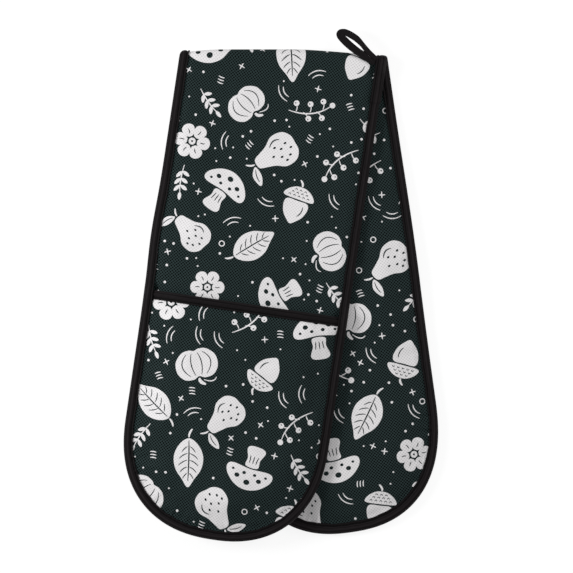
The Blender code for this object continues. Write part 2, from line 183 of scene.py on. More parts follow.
# Mesh spacing
RING_SPACING = 0.0022
CELL = 0.0042
CELL_ROW_SHARE = 0.87
RING_MARGIN_SHARE = 0.6
FOLD_MARGIN_SHARE = 0.5
GRID_SIDE = 0.16
GRID_ENDS = (-0.44, 0.01)
FOLD_ROW = 0.0006
FOLD_ROWS_REACH = 0.0036
FOLD_COLUMN = 0.0030
FOLD_COLUMN_MARGIN = 0.0020
MOUTH_MARGIN = 0.0018
MOUTH_ROWS = (0, 0.003, 0.0055, 0.007, 0.0085, 0.0105, 0.0125)
TAPE_SPACING = 0.0018
SHEET_INSET = 0.0030
RING_STEPS_MM = (0, 2.4, 4.4, 5.6, 6.8, 8.4, 10.2, 12.2, 14.6, 17.4, 20.6)
RING_INSETS = [SHEET_INSET + step * MM for step in RING_STEPS_MM]
TOE_SAMPLES = 700
NORMAL_STEP = 0.0004
CUT_TOLERANCE_MM = 0.0001
EDGE_TOLERANCE = 0.01 * MM
LEAST_AREA = 1e-12

STRIP, POCKET = 1, 2


def mix(low, high, share):
    return low + (high - low) * share


def smooth(share):
    share = np.clip(share, 0, 1)
    return share * share * (3 - 2 * share)


def rise(value, start, length):
    """0 up to the start, 1 from one length after it."""
    return smooth((value - start) / length)


def bell(value, place, width):
    return np.exp(-(((value - place) / width) ** 2))


def bulged(value, power):
    """Power of a value between -1 and 1 that keeps its sign."""
    return np.copysign(np.abs(value) ** power, value)


def unit(vectors):
    return vectors / np.linalg.norm(vectors, axis=1)[:, None]


def fullness(inset):
    return rise(inset, PINCH_WIDTH, CROWN_WIDTH - PINCH_WIDTH)


def panel_thickness(full):
    return 2 * (COVER + LAYER_GAP) + mix(PADDING_EDGE, PADDING_FULL, full)


def pocket_thickness(full):
    return COVER + LINING + 2 * LAYER_GAP + mix(POCKET_PADDING_EDGE, POCKET_PADDING_FULL, full)


FRONT_FOLD_LEVEL = panel_thickness(1) + HALVES_GAP + TAPE_STAND
FRONT_PLATEAU = pocket_thickness(1) + POCKET_ROOM + FRONT_FOLD_LEVEL
FOLD_TOP = FRONT_FOLD_LEVEL + panel_thickness(1)
FOLD_HALF_WIDTH = HALF_WIDTH / math.cos((FRONT_LEAN - BACK_LEAN) / 2)

# The strip turns over the fold from TURN; on the unrolled strip its two halves meet at MIDDLE
FOLD_RADIUS = FOLD_TOP / 2
TURN = -FOLD_RADIUS
ARC = FOLD_RADIUS * math.pi / 2
MIDDLE = TURN + ARC
FOLD_ROWS_END = TURN - FOLD_ROWS_REACH

# The glove's own frame has its origin at the middle of the fold, on the table
JOINT_PLACES = {joint["name"]: Vector(joint["pos_m"]) for joint in frame["joints"]}
FOLD_PLACE = JOINT_PLACES["lower_fold"]
LOOP_PLACE = JOINT_PLACES["loop_swing"]


def waves(run, *terms):
    """Sum of sines of a place along the cloth: (height, wavelength, offset)."""
    return sum(height * np.sin(2 * math.pi * run / length + offset) for height, length, offset in terms)


def pucker_wave(run):
    """Uneven small folds along an edge, between about -1 and 1."""
    wander = waves(run, *WANDER_WAVES)
    folds = waves(run, (0.55, 0.0085, wander), (0.30, 0.0052, 1.3 * wander), (0.25, 0.0137, 1.1))
    return folds * (PUCKER_MEAN_SHARE + waves(run, *PUCKER_WAVES))


def pucker_band(depth, start, length):
    """Strength of the puckers at a distance from an edge."""
    return rise(depth, start, length) * np.exp(-np.maximum(0, depth - PUCKER_CREST) / PUCKER_FADE)


def pillow(depth):
    """Roll of the padded cloth beside a tape."""
    return rise(depth, TAPE_EDGE, PILLOW_RISE) * (1 - rise(depth, PILLOW_START, PILLOW_LENGTH))


def stitch_dip(depth):
    return STITCH_DIP * bell(depth, STITCH_INSET, STITCH_DIP_WIDTH)


def soft_noise(x, y, wavelength, seed):
    """Gentle undulation from a few plane waves, between about -1 and 1."""
    rng = random.Random(seed)
    total = 0
    for _ in range(NOISE_WAVES):
        angle = rng.uniform(0, math.pi)
        length = wavelength * rng.uniform(*NOISE_LENGTH_SHARES)
        offset = rng.uniform(0, 2 * math.pi)
        run = x * math.cos(angle) + y * math.sin(angle)
        total = total + np.sin(2 * math.pi * run / length + offset)
    return total / NOISE_DIVISOR


def climb(t):
    return smooth((TURN - t) / (CLIMB_LENGTH - FOLD_RADIUS))


class Half:
    """One half of the strip, with the other half set once both are made."""

    other = None

    def __init__(self, name, length, toe, power, lean, seed):
        self.name = name
        self.toe = toe
        self.power = power
        self.cos = math.cos(lean)
        self.sin = math.sin(lean)
        self.toe_start = length - toe
        self.seed = seed
        self.creases = {}

    def place(self, across, along):
        return across * self.cos + along * self.sin, across * self.sin - along * self.cos

    def over(self, t):
        """0 where the strip starts to turn over the fold, 1 at the fold's middle."""
        return np.clip((t - TURN) / ARC, 0, 1)

    def across(self, x, t):
        straight = x * self.cos + np.minimum(t, TURN) * self.sin
        return mix(straight, x * HALF_WIDTH / FOLD_HALF_WIDTH, self.over(t))

    def along(self, x, t):
        return x * self.sin - t * self.cos

    def side_x(self, across, t):
        """The x whose place at t is that far across the strip."""
        over = self.over(t)
        slope = mix(self.cos, HALF_WIDTH / FOLD_HALF_WIDTH, over)
        return (across - (1 - over) * np.minimum(t, TURN) * self.sin) / slope

    def inset(self, x, t):
        side = np.abs(self.across(x, t)) / HALF_WIDTH
        end = np.maximum(0, self.along(x, t) - self.toe_start) / self.toe
        reach = (side**self.power + end**self.power) ** (1 / self.power)
        return HALF_WIDTH * (1 - reach)

    def edge_run(self, x, t):
        """Distance along the edge that lies nearest."""
        across, along = self.across(x, t), self.along(x, t)
        turn = np.arctan2(np.maximum(0, along - self.toe_start), np.abs(across) + MM)
        shift = EDGE_RUN_SHIFT * np.tanh(across / EDGE_RUN_WIDTH)
        return np.minimum(along, self.toe_start) + turn * HALF_WIDTH + shift

    def relief(self, x, t):
        """Outward relief that every layer near the edge follows: puckers, stitches and pillow."""
        inset, run = self.inset(x, t), self.edge_run(x, t)
        toe = 1 + TOE_PUCKER_SHARE * rise(self.along(x, t), self.toe_start, TOE_PUCKER_RISE)
        puckers = PUCKER * toe * pucker_wave(run) * pucker_band(inset, PUCKER_START, PUCKER_RISE)
        roll = PILLOW * pillow(inset) * (PILLOW_MEAN_SHARE + waves(run, *PILLOW_WAVES))
        flat = 1 - rise(t, TURN - FOLD_RELIEF_FADE / 2, FOLD_RELIEF_FADE)
        return (puckers + roll) * mix(FOLD_RELIEF_SHARE, 1, flat) - stitch_dip(inset)

    def swell(self, x, t, layer):
        """Slow undulation of the padded cloth away from its edges, and its settled creases."""
        away = rise(self.inset(x, t), SWELL_START, SWELL_RISE) * (1 - rise(t, -SWELL_RISE, SWELL_RISE))
        height = SWELL * away * soft_noise(x, t, SWELL_WAVELENGTH, self.seed + layer)
        if layer in self.creases:
            height = height + self.creases[layer].height(x, t)
        return height

    def full(self, x, t):
        return fullness(self.inset(x, t))

    def mouth_share(self, x, t):
        return rise(self.along(x, t), MOUTH_DISTANCE + PINCH_WIDTH, MOUTH_CROWN)

    def pocket_full(self, x, t):
        return self.full(x, t) * self.mouth_share(x, t)

    def pocket_room(self, x, t):
        edge = LAYER_GAP + TAPE_STAND * (1 - self.mouth_share(x, t))
        return mix(edge, POCKET_ROOM, self.full(x, t))

    def mouth_relief(self, x, t):
        """Pillow and puckers of the pocket below its mouth's tape."""
        past = self.along(x, t) - MOUTH_DISTANCE
        puckers = MOUTH_PUCKER_SHARE * PUCKER * pucker_wave(self.across(x, t) + MOUTH_PUCKER_SHIFT)
        puckers = puckers * pucker_band(past, MOUTH_PUCKER_START, MOUTH_PUCKER_RISE)
        inner = rise(self.inset(x, t), MOUTH_SIDE_START, MOUTH_SIDE_RISE)
        return (puckers + MOUTH_PILLOW_SHARE * PILLOW * pillow(past)) * inner - stitch_dip(past)

    def wrap(self, x, t):
        """0 where the edge tape holds the strip alone, 1 where it holds the pocket too."""
        return rise(self.along(x, t), MOUTH_DISTANCE - MOUTH_WRAP, MOUTH_WRAP)

    def mouth_bump(self, x, t):
        """Rise of the edge tape over the end of the mouth's tape."""
        past = self.along(x, t) - MOUTH_DISTANCE
        fall = 1 - rise(past, TAPE_WIDTH, MOUTH_BUMP_FALL)
        return TAPE_STAND * rise(past, MOUTH_BUMP_START, MOUTH_BUMP_RISE) * fall


class BackHalf(Half):
    """The lower half: its pocket lies on the table, under the strip."""

    outward = -1
    wave = 0.0011
    wave_length = 0.0750

    def stand(self, full):
        return TAPE_STAND * (1 - full)

    def base(self, x, t):
        """Lower level of the strip before its relief."""
        full = self.full(x, t)
        lifted = self.stand(full) + pocket_thickness(full) + self.pocket_room(x, t)
        return mix(self.stand(full), lifted, climb(t))

    def pocket_floor(self, x, t):
        relief = UNDER_SHARE * (self.relief(x, t) + self.mouth_relief(x, t))
        return np.maximum(self.stand(self.pocket_full(x, t)) - relief, LEAST_HEIGHT)

    def pocket_roof(self, x, t):
        full = self.pocket_full(x, t)
        return self.stand(full) + pocket_thickness(full)

    def floor(self, x, t):
        under = UNDER_SHARE * self.relief(x, t) * (1 - self.wrap(x, t))
        return np.maximum(self.base(x, t) - under, LEAST_HEIGHT)

    def roof(self, x, t):
        level = self.base(x, t) + panel_thickness(self.full(x, t))
        pressed = rise(self.other.inset(x, np.minimum(t, TURN)), PRESSED_START, PRESSED_RISE)
        return level + (self.relief(x, t) + self.swell(x, t, STRIP)) * mix(1, PRESSED_SHARE, pressed)

    def lowest(self, x, t):
        """The tape's lower run lies on the table, so nothing here is lower than the tape needs."""
        return np.maximum(mix(self.floor(x, t), TAPE_STAND, self.wrap(x, t)), TAPE_STAND)

    def highest(self, x, t):
        return self.roof(x, t)


class FrontHalf(Half):
    """The upper half: it lies on the back half, and droops where it reaches past its edge."""

    outward = 1
    wave = 0.0016
    wave_length = 0.0340

    def level(self, x, t):
        past_edge = -(x * self.other.cos + np.minimum(t, TURN) * self.other.sin) - HALF_WIDTH
        droop = DROOP * rise(past_edge, -DROOP_LEAD, DROOP_WIDTH)
        return mix(FRONT_FOLD_LEVEL, FRONT_PLATEAU - droop, climb(t))

    def floor(self, x, t):
        return self.level(x, t) - UNDER_SHARE * self.relief(x, t)

    def roof(self, x, t):
        level = self.level(x, t) + panel_thickness(self.full(x, t))
        return level + self.relief(x, t) + self.swell(x, t, STRIP)

    def pocket_floor(self, x, t):
        return self.roof(x, t) + self.pocket_room(x, t)

    def pocket_roof(self, x, t):
        full = self.pocket_full(x, t)
        soft = self.mouth_relief(x, t) + self.swell(x, t, POCKET) * smooth(full * SWELL_GROWTH)
        return self.pocket_floor(x, t) + pocket_thickness(full) + soft

    def lowest(self, x, t):
        return self.floor(x, t)

    def highest(self, x, t):
        edge = self.pocket_roof(x, t) + self.mouth_bump(x, t)
        return mix(self.roof(x, t), edge, self.wrap(x, t))


back = BackHalf("back", BACK_LENGTH, BACK_TOE, BACK_TOE_POWER, BACK_LEAN, 11)
front = FrontHalf("front", FRONT_LENGTH, FRONT_TOE, FRONT_TOE_POWER, FRONT_LEAN, 23)
back.other, front.other = front, back


class Creases:
    """Cloth a little too big for its seams, settled by simulation; its heights become creases."""

    def __init__(self, half, layer, mouth=None):
        self.x = np.arange(-CLOTH_SIDE, CLOTH_SIDE, CLOTH_GRID)
        self.t = np.arange(-CLOTH_END, 0.0, CLOTH_GRID)
        x, t = np.meshgrid(self.x, self.t)
        past = -CLOTH_FOLD_MARGIN - t if mouth is None else half.along(x, t) - mouth
        reach = np.minimum(half.inset(x, t), past)
        self.used = reach > 0
        index = np.full(reach.shape, -1)
        index[self.used] = np.arange(self.used.sum())
        corners = [index[:-1, :-1], index[:-1, 1:], index[1:, 1:], index[1:, :-1]]
        corners = np.stack(corners, axis=-1).reshape(-1, 4)
        faces = corners[(corners >= 0).all(axis=1)].tolist()
        rng = np.random.default_rng(half.seed + layer)
        self.start = rng.normal(0, CLOTH_UNEVENNESS, self.used.sum())
        points = np.stack([x[self.used], t[self.used], self.start], axis=-1) * CLOTH_SCALE
        self.piece = new_object("settling_cloth", points, faces, [])
        held = self.piece.vertex_groups.new(name="held")
        gathered = self.piece.vertex_groups.new(name="gathered")
        for k, depth in enumerate(reach[self.used]):
            held.add([k], 1.0 if depth < CLOTH_HELD else CLOTH_REST, "REPLACE")
            loose = 1 - (depth - CLOTH_HELD) / CLOTH_GATHER
            gathered.add([k], float(min(1, max(0, loose))), "REPLACE")
        cloth = self.piece.modifiers.new("cloth", "CLOTH")
        for key, value in CLOTH_SETTINGS.items():
            setattr(cloth.settings, key, value)
        cloth.settings.effector_weights.gravity = 0
        cloth.collision_settings.use_collision = False

    def settle(self):
        """Keep the simulated heights and remove the cloth itself."""
        mesh = self.piece.evaluated_get(bpy.context.evaluated_depsgraph_get()).data
        places = np.empty(len(mesh.vertices) * 3)
        mesh.vertices.foreach_get("co", places)
        field = np.zeros(self.used.shape)
        field[self.used] = places.reshape(-1, 3)[:, 2] / CLOTH_SCALE - self.start
        for axis in (0, 0, 1, 1):
            field = (np.roll(field, 1, axis) + 2 * field + np.roll(field, -1, axis)) / 4
        up = CLOTH_RISE * np.tanh(np.maximum(field, 0) / CLOTH_RISE)
        down = CLOTH_SINK * np.tanh(np.minimum(field, 0) / CLOTH_SINK)
        self.field = up + down
        cloth = self.piece.data
        bpy.data.objects.remove(self.piece)
        bpy.data.meshes.remove(cloth)

    def height(self, x, t):
        """Height between the grid's points."""
        i = np.clip((np.asarray(x) - self.x[0]) / CLOTH_GRID, 0, len(self.x) - CLOTH_LAST)
        k = np.clip((np.asarray(t) - self.t[0]) / CLOTH_GRID, 0, len(self.t) - CLOTH_LAST)
        i0, k0 = i.astype(int), k.astype(int)
        i, k = smooth(i - i0), smooth(k - k0)
        low = mix(self.field[k0, i0], self.field[k0, i0 + 1], i)
        high = mix(self.field[k0 + 1, i0], self.field[k0 + 1, i0 + 1], i)
        return mix(low, high, k)


def settle_cloths():
    """Simulate the three cloths whose creases show, in the same frames."""
    wanted = [(front, STRIP, None), (front, POCKET, MOUTH_DISTANCE), (back, STRIP, None)]
    cloths = [(half, layer, Creases(half, layer, mouth)) for half, layer, mouth in wanted]
    scene = bpy.context.scene
    for step in range(1, CLOTH_FRAMES + 1):
        scene.frame_set(step)
    for half, layer, cloth in cloths:
        cloth.settle()
        half.creases[layer] = cloth
    scene.frame_set(1)


def fold_depth_share(x):
    """Depth of the fold's turn: the hand-made fold runs out on the left and back on the right."""
    reach = mix(FOLD_REACH_LEFT, FOLD_REACH_RIGHT, rise(x, FOLD_REACH_TURN, HALF_WIDTH))
    return 1 + reach / FOLD_RADIUS


def side_wave(half, x, t):
    """Slight wave of the two free sides, where the cloth isn't quite straight."""
    side = -half.outward
    bump = bell(t, SIDE_WAVE_PLACE, half.wave_length)
    return side * half.wave * bump * smooth(side * half.across(x, t) / HALF_WIDTH)


def bend_over(half, x, t, z):
    """Places in the world of points given on the unrolled strip."""
    full = half.full(x, np.maximum(t, TURN))
    stand = TAPE_STAND * (1 - full)
    centre = (stand + FRONT_FOLD_LEVEL + panel_thickness(full)) / 2
    angle = half.over(t) * math.pi / 2
    y = np.where(t > TURN, TURN + np.abs(z - centre) * np.sin(angle) * fold_depth_share(x), t)
    z = np.where(t > TURN, centre + (z - centre) * np.cos(angle), z)
    return np.stack([x + side_wave(half, x, t), y, z], axis=-1) + np.array(FOLD_PLACE)


def lengths_along(points):
    steps = np.linalg.norm(np.diff(points, axis=0), axis=1)
    return np.concatenate([[0], np.cumsum(steps)])


def evenly(points, spacing):
    """The polyline's points at an even spacing."""
    run = lengths_along(points)
    places = np.linspace(0, run[-1], max(2, round(run[-1] / spacing) + 1))
    return np.stack([np.interp(places, run, column) for column in points.T], axis=-1)


def toe_place(half, angles, inset):
    share = 1 - inset / HALF_WIDTH
    across = bulged(np.cos(angles), 2 / half.power)
    along = np.abs(np.sin(angles)) ** (2 / half.power)
    return across * HALF_WIDTH * share, half.toe_start + along * half.toe * share


def toe_angles(half, spacing):
    """Angles from the left side round the toe to the right, close together and nearly even."""
    angles = np.linspace(math.pi, 0, TOE_SAMPLES)
    return evenly(np.stack([*toe_place(half, angles, 0), angles], axis=-1), spacing)[:, 2]


def fold_and_side_rows(end, spacing):
    """Places down a side, close together over the fold."""
    fine = np.arange(MIDDLE, FOLD_ROWS_END, -FOLD_ROW)
    start = fine[-1] - FOLD_ROW
    return np.concatenate([fine, np.linspace(start, end, round((start - end) / spacing))])


def ring(half, inset, mouth=None):
    """Points at one inset up the left side, round the toe and back, on the unrolled plane."""
    width = HALF_WIDTH - inset
    toe = np.stack(half.place(*toe_place(half, toe_angles(half, RING_SPACING), inset)), axis=-1)
    sides = []
    for side in (-1, 1):
        end = side * width * half.sin - half.toe_start * half.cos
        if mouth is None:
            t = fold_and_side_rows(end, RING_SPACING)[:-1]
        else:
            start = side * width * half.sin - mouth * half.cos
            t = np.linspace(start, end, round((start - end) / RING_SPACING))[:-1]
        sides.append(np.stack([half.side_x(side * width, t), t], axis=-1))
    return np.concatenate([sides[0], toe[1:-1], sides[1][::-1]])


def interior(half, mouth=None):
    """Points inside the rings: a staggered grid, with close rows over the fold or at the mouth."""
    columns = np.arange(-GRID_SIDE, GRID_SIDE, CELL)
    rows = np.arange(*GRID_ENDS, CELL * CELL_ROW_SHARE)
    x, t = np.meshgrid(columns, rows)
    x = x + (np.arange(x.shape[0]) % 2)[:, None] * CELL / 2
    x, t = x.ravel(), t.ravel()
    keep = half.inset(x, t) > RING_INSETS[-1] + CELL * RING_MARGIN_SHARE
    side_place = HALF_WIDTH - RING_INSETS[-1]
    if mouth is None:
        keep &= t < FOLD_ROWS_END - CELL * FOLD_MARGIN_SHARE
        found = [np.stack([x[keep], t[keep]], axis=-1)]
        for t in np.arange(MIDDLE, FOLD_ROWS_END, -FOLD_ROW):
            left, right = (half.side_x(side * side_place, t) for side in (-1, 1))
            x = np.arange(left + FOLD_COLUMN, right - FOLD_COLUMN_MARGIN, FOLD_COLUMN)
            found.append(np.stack([x, np.full(len(x), t)], axis=-1))
    else:
        keep &= half.along(x, t) > mouth + MOUTH_MARGIN
        found = [np.stack([x[keep], t[keep]], axis=-1)]
        across = np.arange(-side_place, side_place, RING_SPACING)
        for past in MOUTH_ROWS:
            found.append(np.stack(half.place(across, np.full(len(across), mouth + past)), axis=-1))
    return np.concatenate(found)


def inside(points, polygon):
    """Which of the points lie inside the closed polygon, by counting crossed edges."""
    x, y = points[:, 0][:, None], points[:, 1][:, None]
    start, end = polygon, np.roll(polygon, -1, axis=0)
    rises = (start[:, 1] > y) != (end[:, 1] > y)
    drop = np.where(end[:, 1] == start[:, 1], 1, end[:, 1] - start[:, 1])
    crossing = (end[:, 0] - start[:, 0]) * (y - start[:, 1]) / drop + start[:, 0]
    return (rises & (x < crossing)).sum(axis=1) % 2 == 1


def triangulate(half, mouth, outline, extra, figures):
    """Triangles of the outline that follow the figures' edges, and which of them are inked."""
    points = list(outline) + list(extra)
    edges = [(k, (k + 1) % len(outline)) for k in range(len(outline))]
    for figure, _ in figures:
        first = len(points)
        points += list(figure)
        edges += [(first + k, first + (k + 1) % len(figure)) for k in range(len(figure))]
    coords = [Vector((p[0] / MM, p[1] / MM)) for p in points]
    verts, _, faces, _, _, _ = delaunay_2d_cdt(coords, edges, [], 0, CUT_TOLERANCE_MM)
    verts = np.array([(v.x, v.y) for v in verts]) * MM
    faces = np.array([f for f in faces if len(f) == 3])
    middle = verts[faces].mean(axis=1)
    keep = (half.inset(middle[:, 0], middle[:, 1]) > SHEET_INSET - EDGE_TOLERANCE) & (middle[:, 1] < MIDDLE)
    if mouth is not None:
        keep &= half.along(middle[:, 0], middle[:, 1]) > mouth - EDGE_TOLERANCE
    faces, middle = faces[keep], middle[keep]
    inked = np.zeros(len(faces), bool)
    for figure, ink in figures:
        low, high = figure.min(axis=0), figure.max(axis=0)
        near = np.nonzero(((middle >= low) & (middle <= high)).all(axis=1))[0]
        inked[near[inside(middle[near], figure)]] = ink
    corners = verts[faces]
    first, second = corners[:, 1] - corners[:, 0], corners[:, 2] - corners[:, 0]
    area = first[:, 0] * second[:, 1] - first[:, 1] * second[:, 0]
    faces[area < 0] = faces[area < 0][:, ::-1]
    keep = np.abs(area) > LEAST_AREA
    used, faces = np.unique(faces[keep], return_inverse=True)
    return verts[used], faces.reshape(-1, 3), inked[keep]


def surface_normals(half, level, x, t, outward):
    """Directions square to the bent surface of a level."""

    def on_level(x, t):
        return bend_over(half, x, t, level(x, t))

    sides = on_level(x + NORMAL_STEP, t) - on_level(x - NORMAL_STEP, t)
    runs = on_level(x, np.minimum(t + NORMAL_STEP, MIDDLE)) - on_level(x, t - NORMAL_STEP)
    return unit(np.cross(sides, runs) * outward)


def new_object(name, points, faces, materials, marks=None, flat=None, normals=None):
    """Mesh object; marks are its faces' materials, flat is each point's place on the flat cloth."""
    mesh = bpy.data.meshes.new(name)
    mesh.from_pydata([tuple(p) for p in points], [], [tuple(f) for f in faces])
    for material in materials:
        mesh.materials.append(material)
    if marks is not None:
        mesh.polygons.foreach_set("material_index", np.asarray(marks, np.int32))
    if flat is not None:
        attribute = mesh.attributes.new("flat", "FLOAT_VECTOR", "POINT")
        attribute.data.foreach_set("vector", np.asarray(flat, np.float32).ravel())
    mesh.shade_smooth()
    mesh.update()
    if normals is not None:
        mesh.normals_split_custom_set_from_vertices([tuple(n) for n in normals])
    return place_in_scene(name, mesh)


def place_in_scene(name, data):
    obj = bpy.data.objects.new(name, data)
    bpy.context.scene.collection.objects.link(obj)
    return obj


def layer(name, half, low, top, materials, figures=(), mouth=None, printed=1):
    """A layer between two levels; its printed side is the top one for 1 and the low one for -1."""
    outline = ring(half, SHEET_INSET, mouth)
    extra = [ring(half, inset, mouth) for inset in RING_INSETS[1:]] + [interior(half, mouth)]
    verts, tris, inked = triangulate(half, mouth, outline, np.concatenate(extra), figures)
    x, t = verts[:, 0], verts[:, 1]
    count = len(verts)
    places = np.concatenate([bend_over(half, x, t, level(x, t)) for level in (top, low)])
    normals = [surface_normals(half, level, x, t, side) for level, side in ((top, 1), (low, -1))]
    edges = np.concatenate([tris[:, [0, 1]], tris[:, [1, 2]], tris[:, [2, 0]]])
    _, first, times = np.unique(np.sort(edges, axis=1), axis=0, return_index=True, return_counts=True)
    rim = edges[first[times == 1]]
    sides = np.stack([rim[:, 1], rim[:, 0], rim[:, 0] + count, rim[:, 1] + count], axis=-1)
    faces = [*tris.tolist(), *(tris[:, ::-1] + count).tolist(), *sides.tolist()]
    inks = [inked, np.zeros(len(tris), bool)][::printed]
    marks = np.concatenate([*inks, np.zeros(len(sides), bool)]).astype(int)
    flat = np.stack([half.across(x, t), half.along(x, t), np.zeros(count)], axis=-1)
    flat = np.concatenate([flat, flat])
    return new_object(name, places, faces, materials, marks, flat, np.concatenate(normals))


# Print: each figure is a closed outline in millimetres and whether it is inked

STROKE_ENDS = (0.03, 0.97)
STROKE_POWER = 0.3


def through(before, points, after, far, per):
    """Smooth curve through the points, each with the point before it and the two after it."""
    q = (np.arange(per) / per)[:, None]
    return [
        0.5 * (2 * b + (c - a) * q + (2 * a - 5 * b + 4 * c - d) * q**2 + (3 * b - a - 3 * c + d) * q**3)
        for a, b, c, d in zip(before, points, after, far)
    ]


def bow(start, middle, end, q):
    """Bow from start to end that passes through the middle half way."""
    pull = 2 * middle - (start + end) / 2
    return (1 - q) ** 2 * start + 2 * q * (1 - q) * pull + q**2 * end


def disc(x, y, radius, ink, flatten=1, count=18):
    angles = np.arange(count) * 2 * math.pi / count
    return np.stack([x + radius * np.cos(angles), y + radius * flatten * np.sin(angles)], axis=-1), ink


def rounded(points, per=5):
    """Closed smooth curve through the points."""
    points = np.array(points, float)
    before, after, far = (np.roll(points, k, axis=0) for k in (1, -1, -2))
    return np.concatenate(through(before, points, after, far, per))


def mirrored(points):
    """A right half outline, from top to bottom, closed with its mirror image."""
    return list(points) + [(-x, y) for x, y in reversed(points) if x]


def stroke(points, width, count, ink):
    """Brush stroke along a smooth line through three points, a little thinner at its ends."""
    q = np.linspace(0, 1, count)
    line = bow(*np.array(points, float), q[:, None])
    ways = unit(np.gradient(line, axis=0))
    sides = np.stack([-ways[:, 1], ways[:, 0]], axis=-1)
    reach = (width / 2 * np.sin(math.pi * np.clip(q, *STROKE_ENDS)) ** STROKE_POWER)[:, None]
    return np.concatenate([line + sides * reach, (line - sides * reach)[::-1]]), ink


def turned(figure, angle, x=0, y=0, size=1):
    points, ink = figure
    cos, sin = math.cos(angle), math.sin(angle)
    return (points * size) @ np.array([[cos, sin], [-sin, cos]]) + np.array([x, y]), ink


def mushroom():
    cap = [(-25, 1), (-23, 9), (-13, 18), (0, 21.5), (13, 18), (23, 9), (25, 1), (19, -2.5)]
    stem = [(-6.5, -3.4), (6.5, -3.4), (6.8, -12), (10, -21), (6, -25), (-6, -25), (-10, -21), (-6.8, -12)]
    spots = [(0, 13.5, 3.3), (-12, 9, 2.7), (12, 9, 2.7), (-5.5, 4.5, 2), (6, 4, 1.8), (18, 3.4, 1.5)]
    figures = [(rounded(cap + [(0, -1), (-19, -2.5)]), True), (rounded(stem), True)]
    figures += [disc(*spot, False, 0.85) for spot in [*spots, (-18, 3.4, 1.5)]]
    for x in (-3.6, 0, 3.6):
        figures.append(stroke([(x, -7), (x * 1.05, -11), (x * 1.25, -15)], 1.1, 7, False))
    return figures


def pear():
    body = mirrored([(0, 19), (5, 17.5), (7.5, 11), (10.5, 3), (16, -6), (15, -17), (8, -23), (0, -23.5)])
    leaf = [(1.5, 21.5), (8, 27.5), (17, 27), (20, 24.5), (14, 20.5), (7, 19.6)]
    seeds = [(-6, -15), (0, -18), (6, -14), (-3, -9), (4, -6), (-7, -4), (0, 1), (9, -9)]
    return [
        (rounded(body), True),
        (rounded(leaf), True),
        stroke([(-0.5, 20.3), (-1.5, 24), (-4.5, 28)], 1.8, 8, True),
        stroke([(-9.5, -12), (-11.2, -6), (-7.5, 0)], 1.3, 9, False),
        stroke([(4, 22), (10, 24.3), (16, 24.5)], 1, 8, False),
        *[disc(x + 2, y, 1.05, False, 1.4, 10) for x, y in seeds],
    ]


def veined_leaf():
    blade = rounded(mirrored([(0, 27), (6, 19), (12.5, 9), (14, -3), (9, -14), (0, -20)]))
    figures = [(blade, True), stroke([(0, -20.8), (0.6, -25), (3, -29)], 2, 8, True)]
    figures.append(stroke([(0, 21), (0.4, 0), (0, -18)], 1.3, 12, False))
    for side in (-1, 1):
        for y, reach in ((-12, 6.6), (-5.5, 9), (1, 9.6), (7.5, 8), (13.5, 5.2)):
            vein = [(side * 1.1, y), (side * reach * 0.6, y + 2), (side * reach, y + 5.4)]
            figures.append(stroke(vein, 1, 7, False))
    return figures


def acorn():
    nut = rounded(mirrored([(0, 1.6), (10.5, 1.4), (13, -4), (10.5, -13), (5, -19.5), (0, -23)]), 4)
    cap = rounded([(-15.5, 4), (-14, 10), (-7, 15), (0, 16.2), (7, 15), (14, 10), (15.5, 4), (0, 3.2)])
    figures = [(nut, True), (cap, True), stroke([(0, 16.6), (0.8, 20), (4, 23)], 2.2, 7, True)]
    for row, y in enumerate((6, 9.3, 12.4)):
        for k in range(5 - row):
            x = (k - (4 - row) / 2) * 5
            figures.append(stroke([(x - 1.3, y - 0.4), (x, y + 0.9), (x + 1.3, y - 0.4)], 0.9, 5, False))
    figures.append(stroke([(-7.5, -3), (-7.4, -9), (-4.5, -14)], 1.2, 8, False))
    return figures


def blossom():
    petal = rounded([(4.6, 0), (8, 5), (14, 6.2), (17.6, 2.6), (17.6, -2.6), (14, -6.2), (8, -5)], 4)
    vein = stroke([(8, 0), (10.5, 0.4), (13, 0)], 1, 6, False)
    angles = [k * math.pi / 3 + 0.2 for k in range(6)]
    figures = [turned(part, angle) for angle in angles for part in ((petal, True), vein)]
    return figures + [disc(0, 0, 5.1, False), disc(0, 0, 3.5, True), disc(0, 0, 1.1, False, 1, 8)]


def berry_twig():
    figures = [stroke([(-22, -8), (0, 3), (22, 2)], 1.5, 16, True)]
    for k, (x, y) in enumerate([(-15, -4.2), (-8, -1), (-1, 1.5), (6, 2.8), (13, 3)]):
        side = 1 if k % 2 else -1
        figures.append(stroke([(x, y), (x + 2.2, y + side * 3), (x + 3, y + side * 5.6)], 1.1, 6, True))
        figures.append(disc(x + 3.4, y + side * 8.3, 3.1, True, 1, 14))
        figures.append(disc(x + 2.6, y + side * 8.9, 0.8, False, 1, 7))
    return figures + [disc(24.4, 1.6, 3.1, True, 1, 14)]


def gourd():
    right = [(0, 12), (6, 14.5), (15, 13), (21, 5), (20.5, -6), (13, -14), (5, -15.5), (0, -14)]
    figures = [(rounded(mirrored(right)), True), stroke([(0, 14), (0.5, 18), (5, 21.5)], 3.4, 8, True)]
    figures.append(stroke([(4, 16.5), (12, 19.5), (17, 16.5)], 1.2, 10, True))
    for x in (-4, 4, -11, 11):
        figures.append(stroke([(x * 0.75, 11), (x * 1.35, -1), (x * 0.75, -12)], 1.1, 11, False))
    return figures


MOTIFS = [mushroom, pear, veined_leaf, acorn, blossom, berry_twig, gourd]


